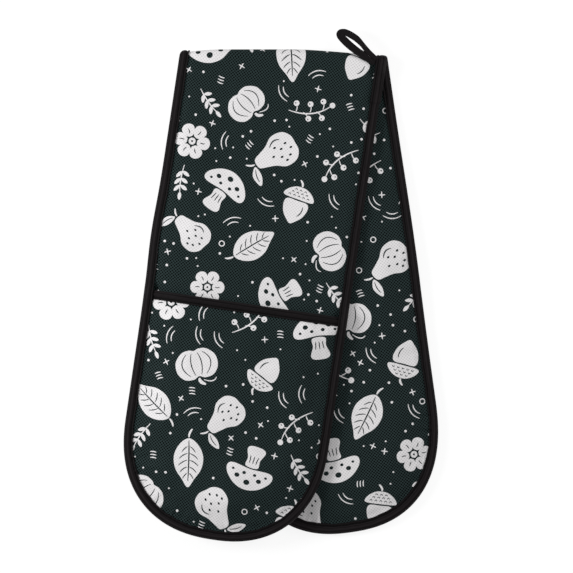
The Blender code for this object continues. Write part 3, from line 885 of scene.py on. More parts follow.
def leaf_twig():
    figures = [stroke([(-13, -3), (0, 0.6), (11, 1.6)], 1.1, 12, True)]
    leaf = (rounded([(0, 0), (2.4, 1.5), (5.4, 1.3), (7.2, 0), (5.4, -1.3), (2.4, -1.5)], 3), True)
    for x, y in ((-7.5, -1.2), (-1.5, 0.5), (4.5, 1.2)):
        figures += [turned(leaf, side * 0.85, x, y + side * 0.3) for side in (-1, 1)]
    return figures + [turned(leaf, 0.1, 10.4, 1.6)]


def double_arc():
    long_arc = stroke([(-8, 0), (0, 2.6), (8, 0)], 1.0, 10, True)
    return [long_arc, stroke([(-5, -3), (0, -1.4), (5, -3)], 1.0, 8, True)]


def three_dashes():
    return [stroke([(-2.6, y), (0.2, y + 0.7), (2.8, y + 0.6)], 1.0, 6, True) for y in (-2.6, 0, 2.6)]


def ring_mark():
    return [disc(0, 0, 2.7, True, 1, 16), disc(0, 0, 1.8, False, 1, 14)]


def plus_mark():
    arm = stroke([(-2.9, 0), (0, 0.15), (2.9, 0)], 1.1, 6, True)
    return [arm, turned(arm, math.pi / 2)]


def dot():
    return [disc(0, 0, 1.15, True, 1, 10)]


def small_dot():
    return [disc(0, 0, 0.8, True, 1, 8)]


# Each small mark, the room round it and how often a place is tried for it
MARKS = [
    (leaf_twig, 15.5, 70),
    (double_arc, 11.0, 90),
    (three_dashes, 7.0, 50),
    (ring_mark, 6.5, 45),
    (plus_mark, 7.0, 170),
    (dot, 5.5, 260),
    (small_dot, 4.5, 200),
]
ROW_PITCH_MM = 41
COLUMN_PITCH_MM = 61
MOTIF_TRIES = 9
MOTIF_SIDE_SHIFT_MM = 7
MOTIF_ROW_SHIFT_MM = 6
MOTIF_TURNS = (0.1, 1.1)
MOTIF_SIZES = (0.80, 0.92)
MOTIF_ROOM_MM = 2.5
MARK_ROOM_MM = 1.5
MARK_SIDE_MM = 88
MARK_LEAD_MM = 20
TRIES_LENGTH_MM = 430
FAR_AWAY_MM = 1000.0


def print_layout(seed, start, end):
    """Motifs in staggered rows over the strip, with small marks between them, in its own plane."""
    rng = random.Random(seed)
    start, end = start / MM, end / MM
    figures, kinds = [], []
    taken = np.array([[FAR_AWAY_MM, FAR_AWAY_MM]])

    def settle(motif, room, places):
        """Add the motif at the freest of some places, if there is room for it."""
        nonlocal taken
        best = None
        for place in places:
            drawn = [turned(figure, *place) for figure in motif()]
            edge = np.concatenate([points[::3] for points, ink in drawn if ink])
            apart = np.hypot(*(edge[:, None] - taken[None]).T).min()
            if apart > room and (best is None or apart > best[0]):
                best = (apart, drawn)
        if best:
            figures.extend(best[1])
            points = [points for points, _ in best[1]]
            taken = np.concatenate([taken, *points, [np.concatenate(points).mean(axis=0)]])

    for row in range(int((end - start) / ROW_PITCH_MM) + 2):
        for column in (-1, 0, 1) if row % 2 == 0 else (-0.5, 0.5):
            if not kinds:
                kinds = rng.sample(MOTIFS, len(MOTIFS))
            places = []
            for _ in range(MOTIF_TRIES):
                x = column * COLUMN_PITCH_MM + rng.uniform(-MOTIF_SIDE_SHIFT_MM, MOTIF_SIDE_SHIFT_MM)
                y = start + row * ROW_PITCH_MM + rng.uniform(-MOTIF_ROW_SHIFT_MM, MOTIF_ROW_SHIFT_MM)
                angle = rng.choice((-1, 1)) * rng.uniform(*MOTIF_TURNS) + rng.choice((0, math.pi))
                places.append((angle, x, y, rng.uniform(*MOTIF_SIZES)))
            settle(kinds.pop(), MOTIF_ROOM_MM, places)
    for mark, room, tries in MARKS:
        for _ in range(int(tries * (end - start) / TRIES_LENGTH_MM)):
            x, y = rng.uniform(-MARK_SIDE_MM, MARK_SIDE_MM), rng.uniform(start - MARK_LEAD_MM, end)
            if np.hypot(taken[:, 0] - x, taken[:, 1] - y).min() > room:
                settle(mark, MARK_ROOM_MM, [(rng.uniform(0, math.pi), x, y, 1)])
    return [(points * MM, ink) for points, ink in figures]


def printed(half, seed, start, end, low, high):
    """A print of the strip's own plane, put on the unrolled plane and kept between two distances."""
    laid = []
    for points, ink in print_layout(seed, start, end):
        if points[:, 1].max() >= low and points[:, 1].min() <= high:
            laid.append((np.stack(half.place(points[:, 0], points[:, 1]), axis=-1), ink))
    return laid


# Materials

WEAVE_PERIOD_MM = 1.97
TAPE_LINE_MM = 1.05
TAPE_PICK_MM = 0.55
# Distance across the tape from its middle where the painted shadow at its inner rim is darkest
TAPE_RIM_SHADE_MM = 8.1
TAPE_STREAK = (0.03, 0.8, 1)
WHITE = (1, 1, 1, 1)


class Nodes:
    """Short way to build the nodes of a material or of the world."""

    def __init__(self, holder):
        holder.use_nodes = True
        self.holder = holder
        self.tree = holder.node_tree
        self.shader = self.tree.nodes.get("Principled BSDF")

    def put(self, node, inputs):
        """Give a node its inputs: another node's output is linked, and any other value is set."""
        for key, value in inputs.items():
            if isinstance(value, bpy.types.NodeSocket):
                self.tree.links.new(value, node.inputs[key])
            else:
                node.inputs[key].default_value = value

    def add(self, kind, inputs, **settings):
        node = self.tree.nodes.new(kind)
        for key, value in settings.items():
            setattr(node, key, value)
        self.put(node, inputs)
        return node

    def math(self, operation, *values):
        return self.add("ShaderNodeMath", dict(enumerate(values)), operation=operation).outputs[0]

    def total(self, base, *terms):
        """The base and a sum of values, each times its share."""
        for value, share in terms:
            base = self.math("MULTIPLY_ADD", value, share, base)
        return base

    def mapped(self, vector, scale, turn=0.0):
        inputs = {"Vector": vector, "Scale": scale, "Rotation": (0, 0, turn)}
        return self.add("ShaderNodeMapping", inputs).outputs["Vector"]

    def flat(self, turn=0.0):
        """Place on the cloth in millimetres, turned, as a vector and two numbers."""
        place = self.add("ShaderNodeAttribute", {}, attribute_name="flat").outputs["Vector"]
        vector = self.mapped(place, (1 / MM, 1 / MM, 1 / MM), turn)
        split = self.add("ShaderNodeSeparateXYZ", {0: vector})
        return vector, split.outputs[0], split.outputs[1]

    def noise(self, vector, scale, detail=3.0, roughness=0.5):
        inputs = {"Vector": vector, "Scale": scale, "Detail": detail, "Roughness": roughness}
        return self.add("ShaderNodeTexNoise", inputs).outputs["Fac"]

    def ramp(self, factor, stops):
        node = self.add("ShaderNodeValToRGB", {"Fac": factor})
        elements = node.color_ramp.elements
        for element, (place, colour) in zip(elements, stops):
            element.position = place
            element.color = colour
        for place, colour in stops[2:]:
            elements.new(place).color = colour
        return node.outputs["Color"]

    def tint(self, colour, factor, low):
        """The colour darkened to a share where the factor is 0."""
        shade = self.ramp(factor, [(0.0, (low, low, low, 1)), (1.0, WHITE)])
        inputs = {"Factor": 1, "A": colour, "B": shade}
        return self.add("ShaderNodeMix", inputs, data_type="RGBA", blend_type="MULTIPLY").outputs["Result"]

    def surface(self, colour, height, bump):
        """Give the shader its colour, and a fine relief from the height."""
        relief = self.add("ShaderNodeBump", {"Height": height, "Distance": bump, "Strength": 1.0})
        self.put(self.shader, {"Base Color": colour, "Normal": relief.outputs["Normal"]})

    def finish(self, specular, roughness, sheen=0.0, sheen_roughness=0.4):
        self.put(self.shader, {"Specular IOR Level": specular, "Roughness": roughness})
        self.put(self.shader, {"Sheen Weight": sheen, "Sheen Roughness": sheen_roughness})
        return self.holder

    def over_background(self, first, second, share, output):
        """Show the second shader instead of the first to the rays that see the plain background."""
        path = self.add("ShaderNodeLightPath", {})
        seen = path.outputs["Is Camera Ray"]
        for ray in ("Is Glossy Ray", "Is Transmission Ray"):
            seen = self.math("MAXIMUM", seen, path.outputs[ray])
        if share < 1:
            seen = self.math("MULTIPLY", seen, share)
        join = self.add("ShaderNodeMixShader", {0: seen, 1: first.outputs[0], 2: second.outputs[0]})
        self.put(self.tree.nodes[output], {"Surface": join.outputs[0]})


def srgb(*screen):
    """Linear colour from screen values of 0 to 255."""
    shares = [v / 255 for v in screen]
    return (*(((v + 0.055) / 1.055) ** 2.4 if v > 10 / 255 else v / 12.92 for v in shares), 1)


def canvas(name, pit, body, crest, specular, sheen, bump):
    """Diagonal canvas: two crossing sets of raised threads with pits between them, a little uneven, with
    painted shade in the pits and a painted highlight on the crests.
    """
    n = Nodes(bpy.data.materials.new(name))
    vector, across, along = n.flat(math.radians(45))
    drift = n.math("MULTIPLY", n.noise(vector, scale=0.10, detail=2.0), 2.4)
    rate = 2 * math.pi / WEAVE_PERIOD_MM
    warp, weft = (n.math("COSINE", n.total(drift, (place, rate))) for place in (across, along))
    ribs = n.total(0.5, (n.math("MAXIMUM", warp, weft), 0.5))
    height = n.total(0, (ribs, 0.80), (n.noise(vector, scale=2.6, roughness=0.6), 0.35))
    # Colour by height: painted shade in the pits, painted highlight on the crests
    colour = n.ramp(height, [(0.30, pit), (1.0, crest), (0.72, body)])
    uneven = n.noise(vector, scale=0.035, detail=4.0, roughness=0.6)
    n.surface(n.tint(colour, uneven, low=0.86), height, bump)
    return n.finish(specular, n.total(0.50, (n.noise(vector, scale=0.06), 0.25)), sheen)


def tape_material():
    """Woven binding tape: fine lines along it and finer ones across, with painted shade in its low threads,
    along its stitch row and at its inner rim.
    """
    n = Nodes(bpy.data.materials.new("binding_tape"))
    vector, run, width = n.flat()
    wander = n.math("MULTIPLY", n.noise(vector, scale=0.12, detail=2.0), 1.6)
    lines = n.math("SINE", n.total(wander, (width, 2 * math.pi / TAPE_LINE_MM)))
    picks = n.math("SINE", n.math("MULTIPLY", run, 2 * math.pi / TAPE_PICK_MM))
    fibre = n.noise(vector, scale=3.0, roughness=0.6)
    height = n.total(0.25, (lines, 0.30), (picks, 0.14), (fibre, 0.5))
    # Colour by height: painted shade in the weave's low places and a painted highlight on its raised lines
    colour = n.ramp(height, [(0.05, srgb(6, 5, 6)), (1.0, srgb(45, 41, 43)), (0.5, srgb(22, 19, 20))])
    colour = n.tint(colour, n.noise(n.mapped(vector, TAPE_STREAK), scale=1.0), low=0.50)
    # Painted shade: a dark line along the stitch row, and a painted shadow along the tape's inner rim
    # beside the cloth
    side = n.math("ABSOLUTE", width)
    seam = n.math("ABSOLUTE", n.math("SUBTRACT", side, STITCH_INSET / MM))
    colour = n.tint(colour, n.total(-0.30, (seam, 1.6)), low=0.12)
    colour = n.tint(colour, n.math("MULTIPLY", n.math("SUBTRACT", TAPE_RIM_SHADE_MM, side), 1.6), low=0.30)
    n.surface(colour, height, bump=0.00012)
    return n.finish(specular=0.04, sheen=0.02, sheen_roughness=0.45, roughness=0.60)


def thread_material():
    n = Nodes(bpy.data.materials.new("stitching_thread"))
    _, run, around = n.flat()
    twist = n.math("SINE", n.total(0, (run, 9.0), (around, 6.0)))
    height = n.total(0.5, (twist, 0.4))
    # Colour by the twist's height: painted shade between its turns and a painted highlight on them
    n.surface(n.ramp(height, [(0.0, srgb(4, 4, 4)), (1.0, srgb(18, 17, 18))]), height, bump=0.00005)
    return n.finish(specular=0.05, sheen=0.02, roughness=0.6)


def felt_material():
    n = Nodes(bpy.data.materials.new("wadding_felt"))
    fibre = n.noise(n.flat()[0], scale=1.4, detail=6.0, roughness=0.75)
    colour = n.ramp(fibre, [(0.25, srgb(190, 186, 176)), (0.75, srgb(232, 229, 222))])
    n.surface(colour, fibre, bump=0.0004)
    return n.finish(specular=0.1, sheen=0.3, sheen_roughness=0.6, roughness=0.95)


# The pit, body and crest of each weave; the pit colour is painted shade and the crest colour a painted
# highlight
GROUND_COLOURS = (srgb(0, 1, 1), srgb(3, 6, 6), srgb(54, 69, 69))
INK_COLOURS = (srgb(202, 200, 201), srgb(230, 228, 229), srgb(240, 238, 239))
LINING_COLOURS = (srgb(150, 145, 133), srgb(196, 191, 178), srgb(214, 210, 198))
ground = canvas("printed_ground", *GROUND_COLOURS, specular=0.03, sheen=0.01, bump=0.00028)
ink = canvas("printed_ink", *INK_COLOURS, specular=0.12, sheen=0.0, bump=0.00012)
lining = canvas("lining_canvas", *LINING_COLOURS, specular=0.12, sheen=0.1, bump=0.00016)
tape = tape_material()
thread = thread_material()
felt = felt_material()
PRINTED = [ground, ink]

# Covers, paddings and linings

OVER_FOLD = 0.004


def raised(level, height):
    return lambda x, t: level(x, t) + height


def body(half):
    return half.name + "_half"


def crossing(piece, half):
    """The piece crosses the fold; its transform is baked into its mesh, the same for either half."""
    if half is front:
        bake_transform(piece)
    else:
        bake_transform(piece)


def make_strip(half, face_figures, reverse_figures):
    """The strip's two covers and its wadding; the face is the outer side of the folded glove."""
    gap = COVER + LAYER_GAP
    floor, roof = half.floor, half.roof
    low_side, top_side = [("reverse", reverse_figures), ("face", face_figures)][:: half.outward]
    name = half.name + "_"
    low = layer(name + low_side[0], half, floor, raised(floor, COVER), PRINTED, low_side[1], printed=-1)
    pad = layer(name + "padding", half, raised(floor, gap), raised(roof, -gap), [felt])
    top = layer(name + top_side[0], half, raised(roof, -COVER), roof, PRINTED, top_side[1], printed=1)
    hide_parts(name + "wadding", "fold_wadding")
    for cover, (side, _) in ((low, low_side), (top, top_side)):
        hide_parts(name + side + "_cover", "fold_" + side + "_cover")
    for piece in (low, pad, top):
        crossing(piece, half)


def make_pocket(half, figures):
    """The pocket's lining, cover and wadding; the cover is on the outer side."""
    mouth = MOUTH_DISTANCE + MOUTH_SETBACK
    floor, roof = half.pocket_floor, half.pocket_roof
    low, top = (LINING, COVER)[:: half.outward]
    skins = [(floor, raised(floor, low)), (raised(roof, -top), roof)][:: half.outward]
    name = half.name + "_"
    lined = layer(name + "lining", half, *skins[0], [lining], mouth=mouth)
    cover = layer(name + "pocket", half, *skins[1], PRINTED, figures, mouth, half.outward)
    pad_low, pad_top = raised(floor, low + LAYER_GAP), raised(roof, -top - LAYER_GAP)
    pad = layer(name + "pocket_padding", half, pad_low, pad_top, [felt], mouth=mouth)
    slots = {"lining": "lining_cloth", "cover": "printed_cloth", "wadding": "wadding"}
    for piece, (part, slot) in zip((lined, cover, pad), slots.items()):
        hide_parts(name + "pocket_" + part)
        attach(piece, body(half))


# Binding: a tape's lines each have an inset, a share of its height, a place across it and a depth

CAP_REACH = 0.0045
CAP_STEPS = 14
LEG_INSETS = [0.0053, 0.0058, 0.0063, 0.0068, 0.0073, 0.0078, 0.0080]
HEM_PLACE = 0.0085
HEM_OVERHANG = 0.0002
HEM_DEPTH = TAPE * 0.45
TAPE_WOBBLE_SHARE = 0.02
TAPE_WAVES = ((1, 0.031, 0.5), (0.7, 0.0132, 2.0))


def half_turn(steps):
    return np.linspace(-math.pi / 2, math.pi / 2, steps + 1)


def tape_lines(cap, legs, angles, inner_angles, start=0, overhang=HEM_OVERHANG, lower=True):
    """Lines of a folded tape: over its outside and back along its inside."""

    def turn(angles, start, depth):
        return [
            (start + (cap - start) * (1 - math.cos(a)), (1 + math.sin(a)) / 2, cap * math.sin(a), depth)
            for a in angles
        ]

    def leg(insets, side, depth):
        return [(inset, (1 + side) / 2, side * inset, depth) for inset in insets]

    def hem(side):
        return [(legs[-1] + overhang, (1 + side) / 2, side * HEM_PLACE, HEM_DEPTH)]

    lines = turn(angles, start, 0) + leg(legs, 1, 0) + hem(1)
    lines += leg(legs[::-2], 1, TAPE) + turn(inner_angles, start + TAPE, TAPE)
    if lower:
        lines = leg(legs[::-1], -1, 0) + lines + leg(legs[::2], -1, TAPE) + hem(-1)
    return lines


def flat_line(run, width):
    return np.stack([run, np.full(len(run), width), np.zeros(len(run))], axis=-1)


def loft(name, lines, flats, material):
    """Closed skin over lines of points, each as long as the skin has stations."""
    rings, flats = np.stack(lines, axis=1), np.stack(flats, axis=1)
    count, corners = rings.shape[:2]
    index = np.arange(count * corners).reshape(count, corners)
    right = np.roll(index, -1, axis=1)
    quads = np.stack([index[:-1], index[1:], right[1:], right[:-1]], axis=-1).reshape(-1, 4)
    faces = quads.tolist() + [index[0][::-1].tolist(), index[-1].tolist()]
    return new_object(name, rings.reshape(-1, 3), faces, [material], None, flats.reshape(-1, 3))


def tape_skin(name, half, run, lines, place, levels):
    """Skin of a tape whose lines are placed on the plane and between two levels."""
    points, flats = [], []
    for inset, share, width, depth in lines:
        x, t = place(inset)
        low, high = levels(x, t, inset, depth)
        points.append(bend_over(half, x, t, mix(low, high, share)))
        flats.append(flat_line(run, width))
    piece = loft(name, points, flats, tape)
    return piece


def stitch_groove(inset, depth):
    """Depth of the groove that the stitches pull into the tape's outside."""
    return STITCH_GROOVE * bell(inset, STITCH_INSET, STITCH_GROOVE_WIDTH) * (depth == 0)


def tape_stations(half):
    """Stations round the edge: (side, t) up one side, (0, angle) round the toe, and back."""
    sides = []
    for side in (-1, 1):
        end = side * HALF_WIDTH * half.sin - half.toe_start * half.cos
        sides.append([(side, t) for t in fold_and_side_rows(end, TAPE_SPACING)])
    toe = [(0, angle) for angle in toe_angles(half, TAPE_SPACING)[1:-1]]
    return sides[0] + toe + sides[1][::-1]


def station_places(half, stations, inset):
    """Places on the unrolled plane at one inset from the edge, square to it."""
    kinds, values = np.array(stations).T
    toe_x, toe_t = half.place(*toe_place(half, values, inset))
    shear = np.where(values > TURN, 1, np.maximum(0, 1 - (TURN - values) / SHEAR_LENGTH))
    t = np.minimum(values - (1 - shear) * kinds * inset * half.sin, MIDDLE)
    side_x = half.side_x(kinds * (HALF_WIDTH - inset), t)
    return np.where(kinds != 0, side_x, toe_x), np.where(kinds != 0, t, toe_t)


def station_run(half, stations):
    return lengths_along(np.stack(station_places(half, stations, 0), axis=-1))


def make_edge_binding(half, stations, run):
    wobble = 1 + TAPE_WOBBLE_SHARE * waves(run, *TAPE_WAVES)
    angles = half_turn(CAP_STEPS)

    def place(inset):
        return station_places(half, stations, inset * (wobble if inset > CAP_REACH else 1))

    def levels(x, t, inset, depth):
        inward = depth + stitch_groove(inset, depth)
        return half.lowest(x, t) - TAPE_STAND + inward, half.highest(x, t) + TAPE_STAND - inward

    lines = tape_lines(CAP_REACH, LEG_INSETS, angles, angles[::-2])
    piece = tape_skin(half.name + "_binding", half, run, lines, place, levels)
    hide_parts(half.name + "_edge_binding", "fold_binding_left", "fold_binding_right")
    crossing(piece, half)


STITCH_LENGTH = 0.0024
STITCH_PITCH = 0.0031
STITCH_START = 0.0012
STITCH_LIFT = TAPE_STAND - STITCH_GROOVE
THREAD_RADIUS = 0.00021
THREAD_RINGS = 5
THREAD_SIDES = 6
THREAD_HUMP = 0.00016
THREAD_SINK = 0.00006
THREAD_END_SHARE = 0.55


def thread_tubes(name, starts, middles, ends, ups):
    """Short stitches, each a thin tube that dives into the tape at both ends."""
    rings, sides = THREAD_RINGS, THREAD_SIDES
    way = unit(ends - starts)
    cross = unit(np.cross(way, ups))
    up = np.cross(cross, way)
    verts, flats = [], []
    for share in np.linspace(0, 1, rings):
        arch = math.sin(math.pi * share)
        centre = bow(starts, middles, ends, share) + ups * (arch * THREAD_HUMP - THREAD_SINK)
        radius = THREAD_RADIUS * mix(THREAD_END_SHARE, 1, arch)
        for side in range(sides):
            angle = 2 * math.pi * side / sides
            verts.append(centre + (cross * math.cos(angle) + up * math.sin(angle)) * radius)
            flats.append(np.tile([share * STITCH_LENGTH, side * THREAD_RADIUS, 0], (len(starts), 1)))
    verts, flats = np.stack(verts, axis=1), np.stack(flats, axis=1)
    index = np.arange(rings * sides).reshape(rings, sides)
    near = np.roll(index, -1, axis=1)
    quads = np.stack([index[:-1], near[:-1], near[1:], index[1:]], axis=-1).reshape(-1, 4)
    stitch = quads.tolist() + [index[0][::-1].tolist(), index[-1].tolist()]
    firsts = range(0, len(starts) * index.size, index.size)
    faces = [[first + k for k in face] for first in firsts for face in stitch]
    piece = new_object(name, verts.reshape(-1, 3), faces, [thread], None, flats.reshape(-1, 3))
    return piece


def stitches(half, firsts, place, level, side):
    """Starts, middles and ends of the stitches on a tape's side, and the way that they face."""
    found = []
    for share in (0, 0.5, 1):
        x, t = place(firsts + share * STITCH_LENGTH)
        found.append(bend_over(half, x, t, level(x, t) + side * STITCH_LIFT))
        if share == 0.5:
            facing = surface_normals(half, level, x, t, side)
    return (*found, facing)


def make_stitching(half, stations, run):
    edge_x, edge_t = station_places(half, stations, STITCH_INSET)
    firsts = np.arange(run[0] + STITCH_START, run[-1] - STITCH_PITCH, STITCH_PITCH)

    def place(places):
        return np.interp(places, run, edge_x), np.interp(places, run, edge_t)

    top = stitches(half, firsts, place, half.highest, 1)
    low = stitches(half, firsts, place, half.lowest, -1)
    joined = [np.concatenate([a, b]) for a, b in zip(top, low)]
    crossing(thread_tubes(half.name + "_stitching", *joined), half)


MOUTH_CAP = 0.0030
MOUTH_CAP_STEPS = 8
MOUTH_LEGS = [0.0038, 0.0048, 0.0058, 0.0063, 0.0068, 0.0075, 0.0080]
MOUTH_END_INSET = 0.0055
MOUTH_STATIONS = 91
MOUTH_STITCH_INSETS = (0.0090, 0.0110)


def make_mouth_binding(half):
    """Tape folded over the pocket's open edge; its ends go under the edge's tape."""
    end = HALF_WIDTH - MOUTH_END_INSET
    across = np.linspace(end, -end, MOUTH_STATIONS)
    angles = half_turn(MOUTH_CAP_STEPS)

    def place(past):
        return half.place(across, np.full(len(across), MOUTH_DISTANCE + past))

    def levels(x, t, past, depth):
        inward = depth + stitch_groove(past, depth)
        low = np.maximum(half.pocket_floor(x, t) - TAPE_STAND, 0) + inward
        return low, half.pocket_roof(x, t) + TAPE_STAND - inward

    def stitch_place(across):
        return half.place(across, np.full(len(across), MOUTH_DISTANCE + STITCH_INSET))

    lines = tape_lines(MOUTH_CAP, MOUTH_LEGS, angles, angles[::-1])
    piece = tape_skin(half.name + "_pocket_mouth", half, across, lines, place, levels)
    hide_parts(half.name + "_mouth_binding")
    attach(piece, body(half))
    first, last = MOUTH_STITCH_INSETS
    firsts = np.arange(-HALF_WIDTH + first, HALF_WIDTH - last, STITCH_PITCH)
    level = half.pocket_roof if half is front else half.pocket_floor
    seam = stitches(half, firsts, stitch_place, level, half.outward)
    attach(thread_tubes(half.name + "_mouth_stitching", *seam), body(half))


LAP_LENGTH = 0.0335
LAP_START = TURN - 0.0006
LAP_FIRST_ANGLE = 3
LAP_STATIONS = 28
LAP_SINK = 0.0001
LAP_HEM = 0.0004
LAP_TUCK = 0.0006
LAP_TUCK_LENGTH = 0.0014
LAP_TUCK_STATIONS = 8
LAP_BUMP = 0.0028
LAP_BUMP_MIDDLE = -0.0135
LAP_BUMP_REACH = 0.0075
LAP_BUMP_START = -0.0010
LAP_BUMP_RISE = 0.0030


def make_lap():
    """End of the edge tape, lapped over its start and over the loop's stitched ends."""
    end = HALF_WIDTH * front.sin - LAP_LENGTH * front.cos
    tuck_start = end + LAP_TUCK_LENGTH
    values = [*np.linspace(LAP_START, tuck_start, LAP_STATIONS)[:-1]]
    values += [*np.linspace(tuck_start, end, LAP_TUCK_STATIONS)]
    stations = [(1, value) for value in values]
    run = station_run(front, stations)
    tuck = rise(run, run[-1] - LAP_TUCK_LENGTH, LAP_TUCK_LENGTH)

    def place(inset):
        return station_places(front, stations, inset)

    def levels(x, t, inset, depth):
        bump = LAP_BUMP * np.exp(-(((t - LAP_BUMP_MIDDLE) / LAP_BUMP_REACH) ** 4))
        bump = bump * rise(inset, LAP_BUMP_START, LAP_BUMP_RISE)
        sunk = depth + LAP_SINK + LAP_TUCK * tuck * (1 - depth / TAPE)
        low = front.lowest(x, t) - TAPE_STAND + depth
        return low, front.highest(x, t) + 2 * TAPE_STAND + bump - sunk

    angles = half_turn(CAP_STEPS)[LAP_FIRST_ANGLE:]
    lines = tape_lines(CAP_REACH, LEG_INSETS, angles, angles[::-1], -TAPE_STAND, LAP_HEM, lower=False)
    piece = tape_skin("binding_end", front, run, lines, place, levels)
    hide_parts("front_binding_lap")
    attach(piece, "front_half")


# Loop and its stitched ends; a share is one of the loop's length, and then of its half width

LOOP_LENGTH = 0.0420
LOOP_HALF_WIDTH = 0.0072
LOOP_ANGLE = math.radians(141.5)
UPPER_LOOP_SHARES = [
    (-0.02, -0.40), (0.10, -0.44), (0.25, -0.54), (0.42, -0.74),
    (0.58, -0.93), (0.74, -0.88), (0.89, -0.67), (0.975, -0.30),
]
LOOP_TIP_SHARES = [(1.003, 0.03)]
LOWER_LOOP_SHARES = [
    (1.000, 0.36), (0.968, 0.64), (0.89, 0.88), (0.70, 1.06),
    (0.49, 1.09), (0.30, 1.00), (0.10, 0.82), (-0.02, 0.72),
]
EYE_SHARES = [
    (-0.02, 0), (0.16, 0), (0.30, 0), (0.36, -0.45),
    (0.46, -0.95), (0.60, -1), (0.72, -0.5), (0.80, -0.1),
]
EYE_TIP_SHARE = 0.808
EYE_RETURN_SHARE = 0.9
EYE_HALF_WIDTH = 0.0011
EYE_GAP = 0.00003
EYE_LEAN = 0.0013
EYE_LEAN_SHARE = 0.6
LOOP_HALF_THICKNESS = 0.0010
LOOP_SINK_SHARE = 1.1
LOOP_SPACING = 0.0006
LOOP_CURVE_STEPS = 8
LOOP_CORNERS = 22
LOOP_ROUNDNESS = 0.75
LOOP_ARCH = 0.0012
LOOP_DROP = 0.0016
LOOP_RUN_LIFTS = (-0.0001, 0.0003)
LOOP_LEVEL_SHARE = 0.7
LOOP_THIN_SHARE = -0.15
LOOP_FADE_SHARE = 0.2
LOOP_CREASE_SHARE = 0.16
LOOP_CREASE_WIDTH = 0.22
TACK_LENGTH = 0.0052
TACK_START = 0.0002
TACK_STATIONS = 12
TACK_CORNERS = 20
TACK_HALF_WIDTH = 0.0040
TACK_HALF_THICKNESS = 0.0006
TACK_DROP = 0.0011
TACK_ROUNDNESS = 0.4
TACK_SPLIT_SHARE = 0.3
TACK_SPLIT_WIDTH = 0.0006
TACK_RIDGE_SHARE = 0.10
TACK_RIDGE_PITCH = 0.0012


def on_loop(along, across, z):
    """Places in the world from places along the loop and across it."""
    cos, sin = math.cos(LOOP_ANGLE), math.sin(LOOP_ANGLE)
    x = LOOP_PLACE.x + along * cos - across * sin
    y = LOOP_PLACE.y + along * sin + across * cos
    return np.stack([x, y, z], axis=-1)


def open_curve(points):
    """Open smooth curve through the points."""
    padded = np.concatenate([[2 * points[0] - points[1]], points, [2 * points[-1] - points[-2]]])
    pieces = through(padded, padded[1:], padded[2:], padded[3:], LOOP_CURVE_STEPS)
    return np.concatenate(pieces + [points[-1:]])


def loop_lines():
    """Outer and inner outline of the loop, point by point, and the distance along the outer one."""
    size = (LOOP_LENGTH, LOOP_HALF_WIDTH)
    outer = np.array(UPPER_LOOP_SHARES + LOOP_TIP_SHARES + LOWER_LOOP_SHARES) * size
    eye = np.array(EYE_SHARES) * (LOOP_LENGTH, EYE_HALF_WIDTH) + (0, -EYE_GAP)
    tip = [(EYE_TIP_SHARE * LOOP_LENGTH, 0)]
    inner = np.concatenate([eye, tip, (eye * (1, -EYE_RETURN_SHARE))[::-1]])
    inner[:, 1] += EYE_LEAN * smooth(1 - inner[:, 0] / LOOP_LENGTH / EYE_LEAN_SHARE)
    outer, inner = evenly(open_curve(outer), LOOP_SPACING), open_curve(inner)
    run, inner_run = lengths_along(outer), lengths_along(inner)
    middle, inner_middle = np.argmax(outer[:, 0]), np.argmax(inner[:, 0])
    known = [0, run[middle], run[-1]]
    share = np.interp(run, known, [0, inner_run[inner_middle], inner_run[-1]])
    inner = np.stack([np.interp(share, inner_run, column) for column in inner.T], axis=-1)
    return outer, inner, run, middle


def make_loop():
    """Loop of folded tape: two runs side by side that turn tightly at the tip."""
    outer, inner, run, middle = loop_lines()
    centre, reach = (outer + inner) / 2, (outer - inner) / 2
    along = centre[:, 0] / LOOP_LENGTH
    far = np.clip(along, 0, 1)
    level = LOOP_PLACE.z - LOOP_HALF_THICKNESS * LOOP_SINK_SHARE
    level = level + LOOP_ARCH * np.sin(math.pi * far) - LOOP_DROP * far**2
    lift = np.where(np.arange(len(run)) > middle, LOOP_RUN_LIFTS[1], LOOP_RUN_LIFTS[0])
    level = level + lift * (1 - rise(along, LOOP_LEVEL_SHARE, LOOP_FADE_SHARE))
    thickness = LOOP_HALF_THICKNESS * rise(along, LOOP_THIN_SHARE, LOOP_FADE_SHARE)
    lines, flats = [], []
    for angle in np.arange(LOOP_CORNERS) * 2 * math.pi / LOOP_CORNERS:
        side = bulged(math.cos(angle), LOOP_ROUNDNESS)
        crease = 1 - LOOP_CREASE_SHARE * bell(side, 0, LOOP_CREASE_WIDTH)
        place = centre + reach * side
        z = level + thickness * bulged(math.sin(angle), LOOP_ROUNDNESS) * crease
        lines.append(on_loop(place[:, 0], place[:, 1], z))
        flats.append(flat_line(run, side * LOOP_HALF_WIDTH / 2))
    piece = loft("tape_loop", lines, flats, tape)
    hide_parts("hanging_loop")
    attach(piece, "loop")


def make_tack():
    """The loop's two ends, flattened and sewn down under the binding's end."""
    lines, flats = [], []
    places = np.linspace(-TACK_LENGTH, -TACK_START, TACK_STATIONS)
    ridges = 1 + TACK_RIDGE_SHARE * np.sin(places / TACK_RIDGE_PITCH * 2 * math.pi)
    for angle in np.arange(TACK_CORNERS) * 2 * math.pi / TACK_CORNERS:
        across = TACK_HALF_WIDTH * bulged(math.cos(angle), TACK_ROUNDNESS)
        height = TACK_HALF_THICKNESS * bulged(math.sin(angle), TACK_ROUNDNESS)
        split = 1 - TACK_SPLIT_SHARE * bell(across, 0, TACK_SPLIT_WIDTH)
        lines.append(on_loop(places, across, LOOP_PLACE.z - TACK_DROP + height * split * ridges))
        flats.append(flat_line(places, across))
    piece = loft("loop_ends", lines, flats, tape)
    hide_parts("loop_tack")
    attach(piece, "front_half")


# Camera and studio

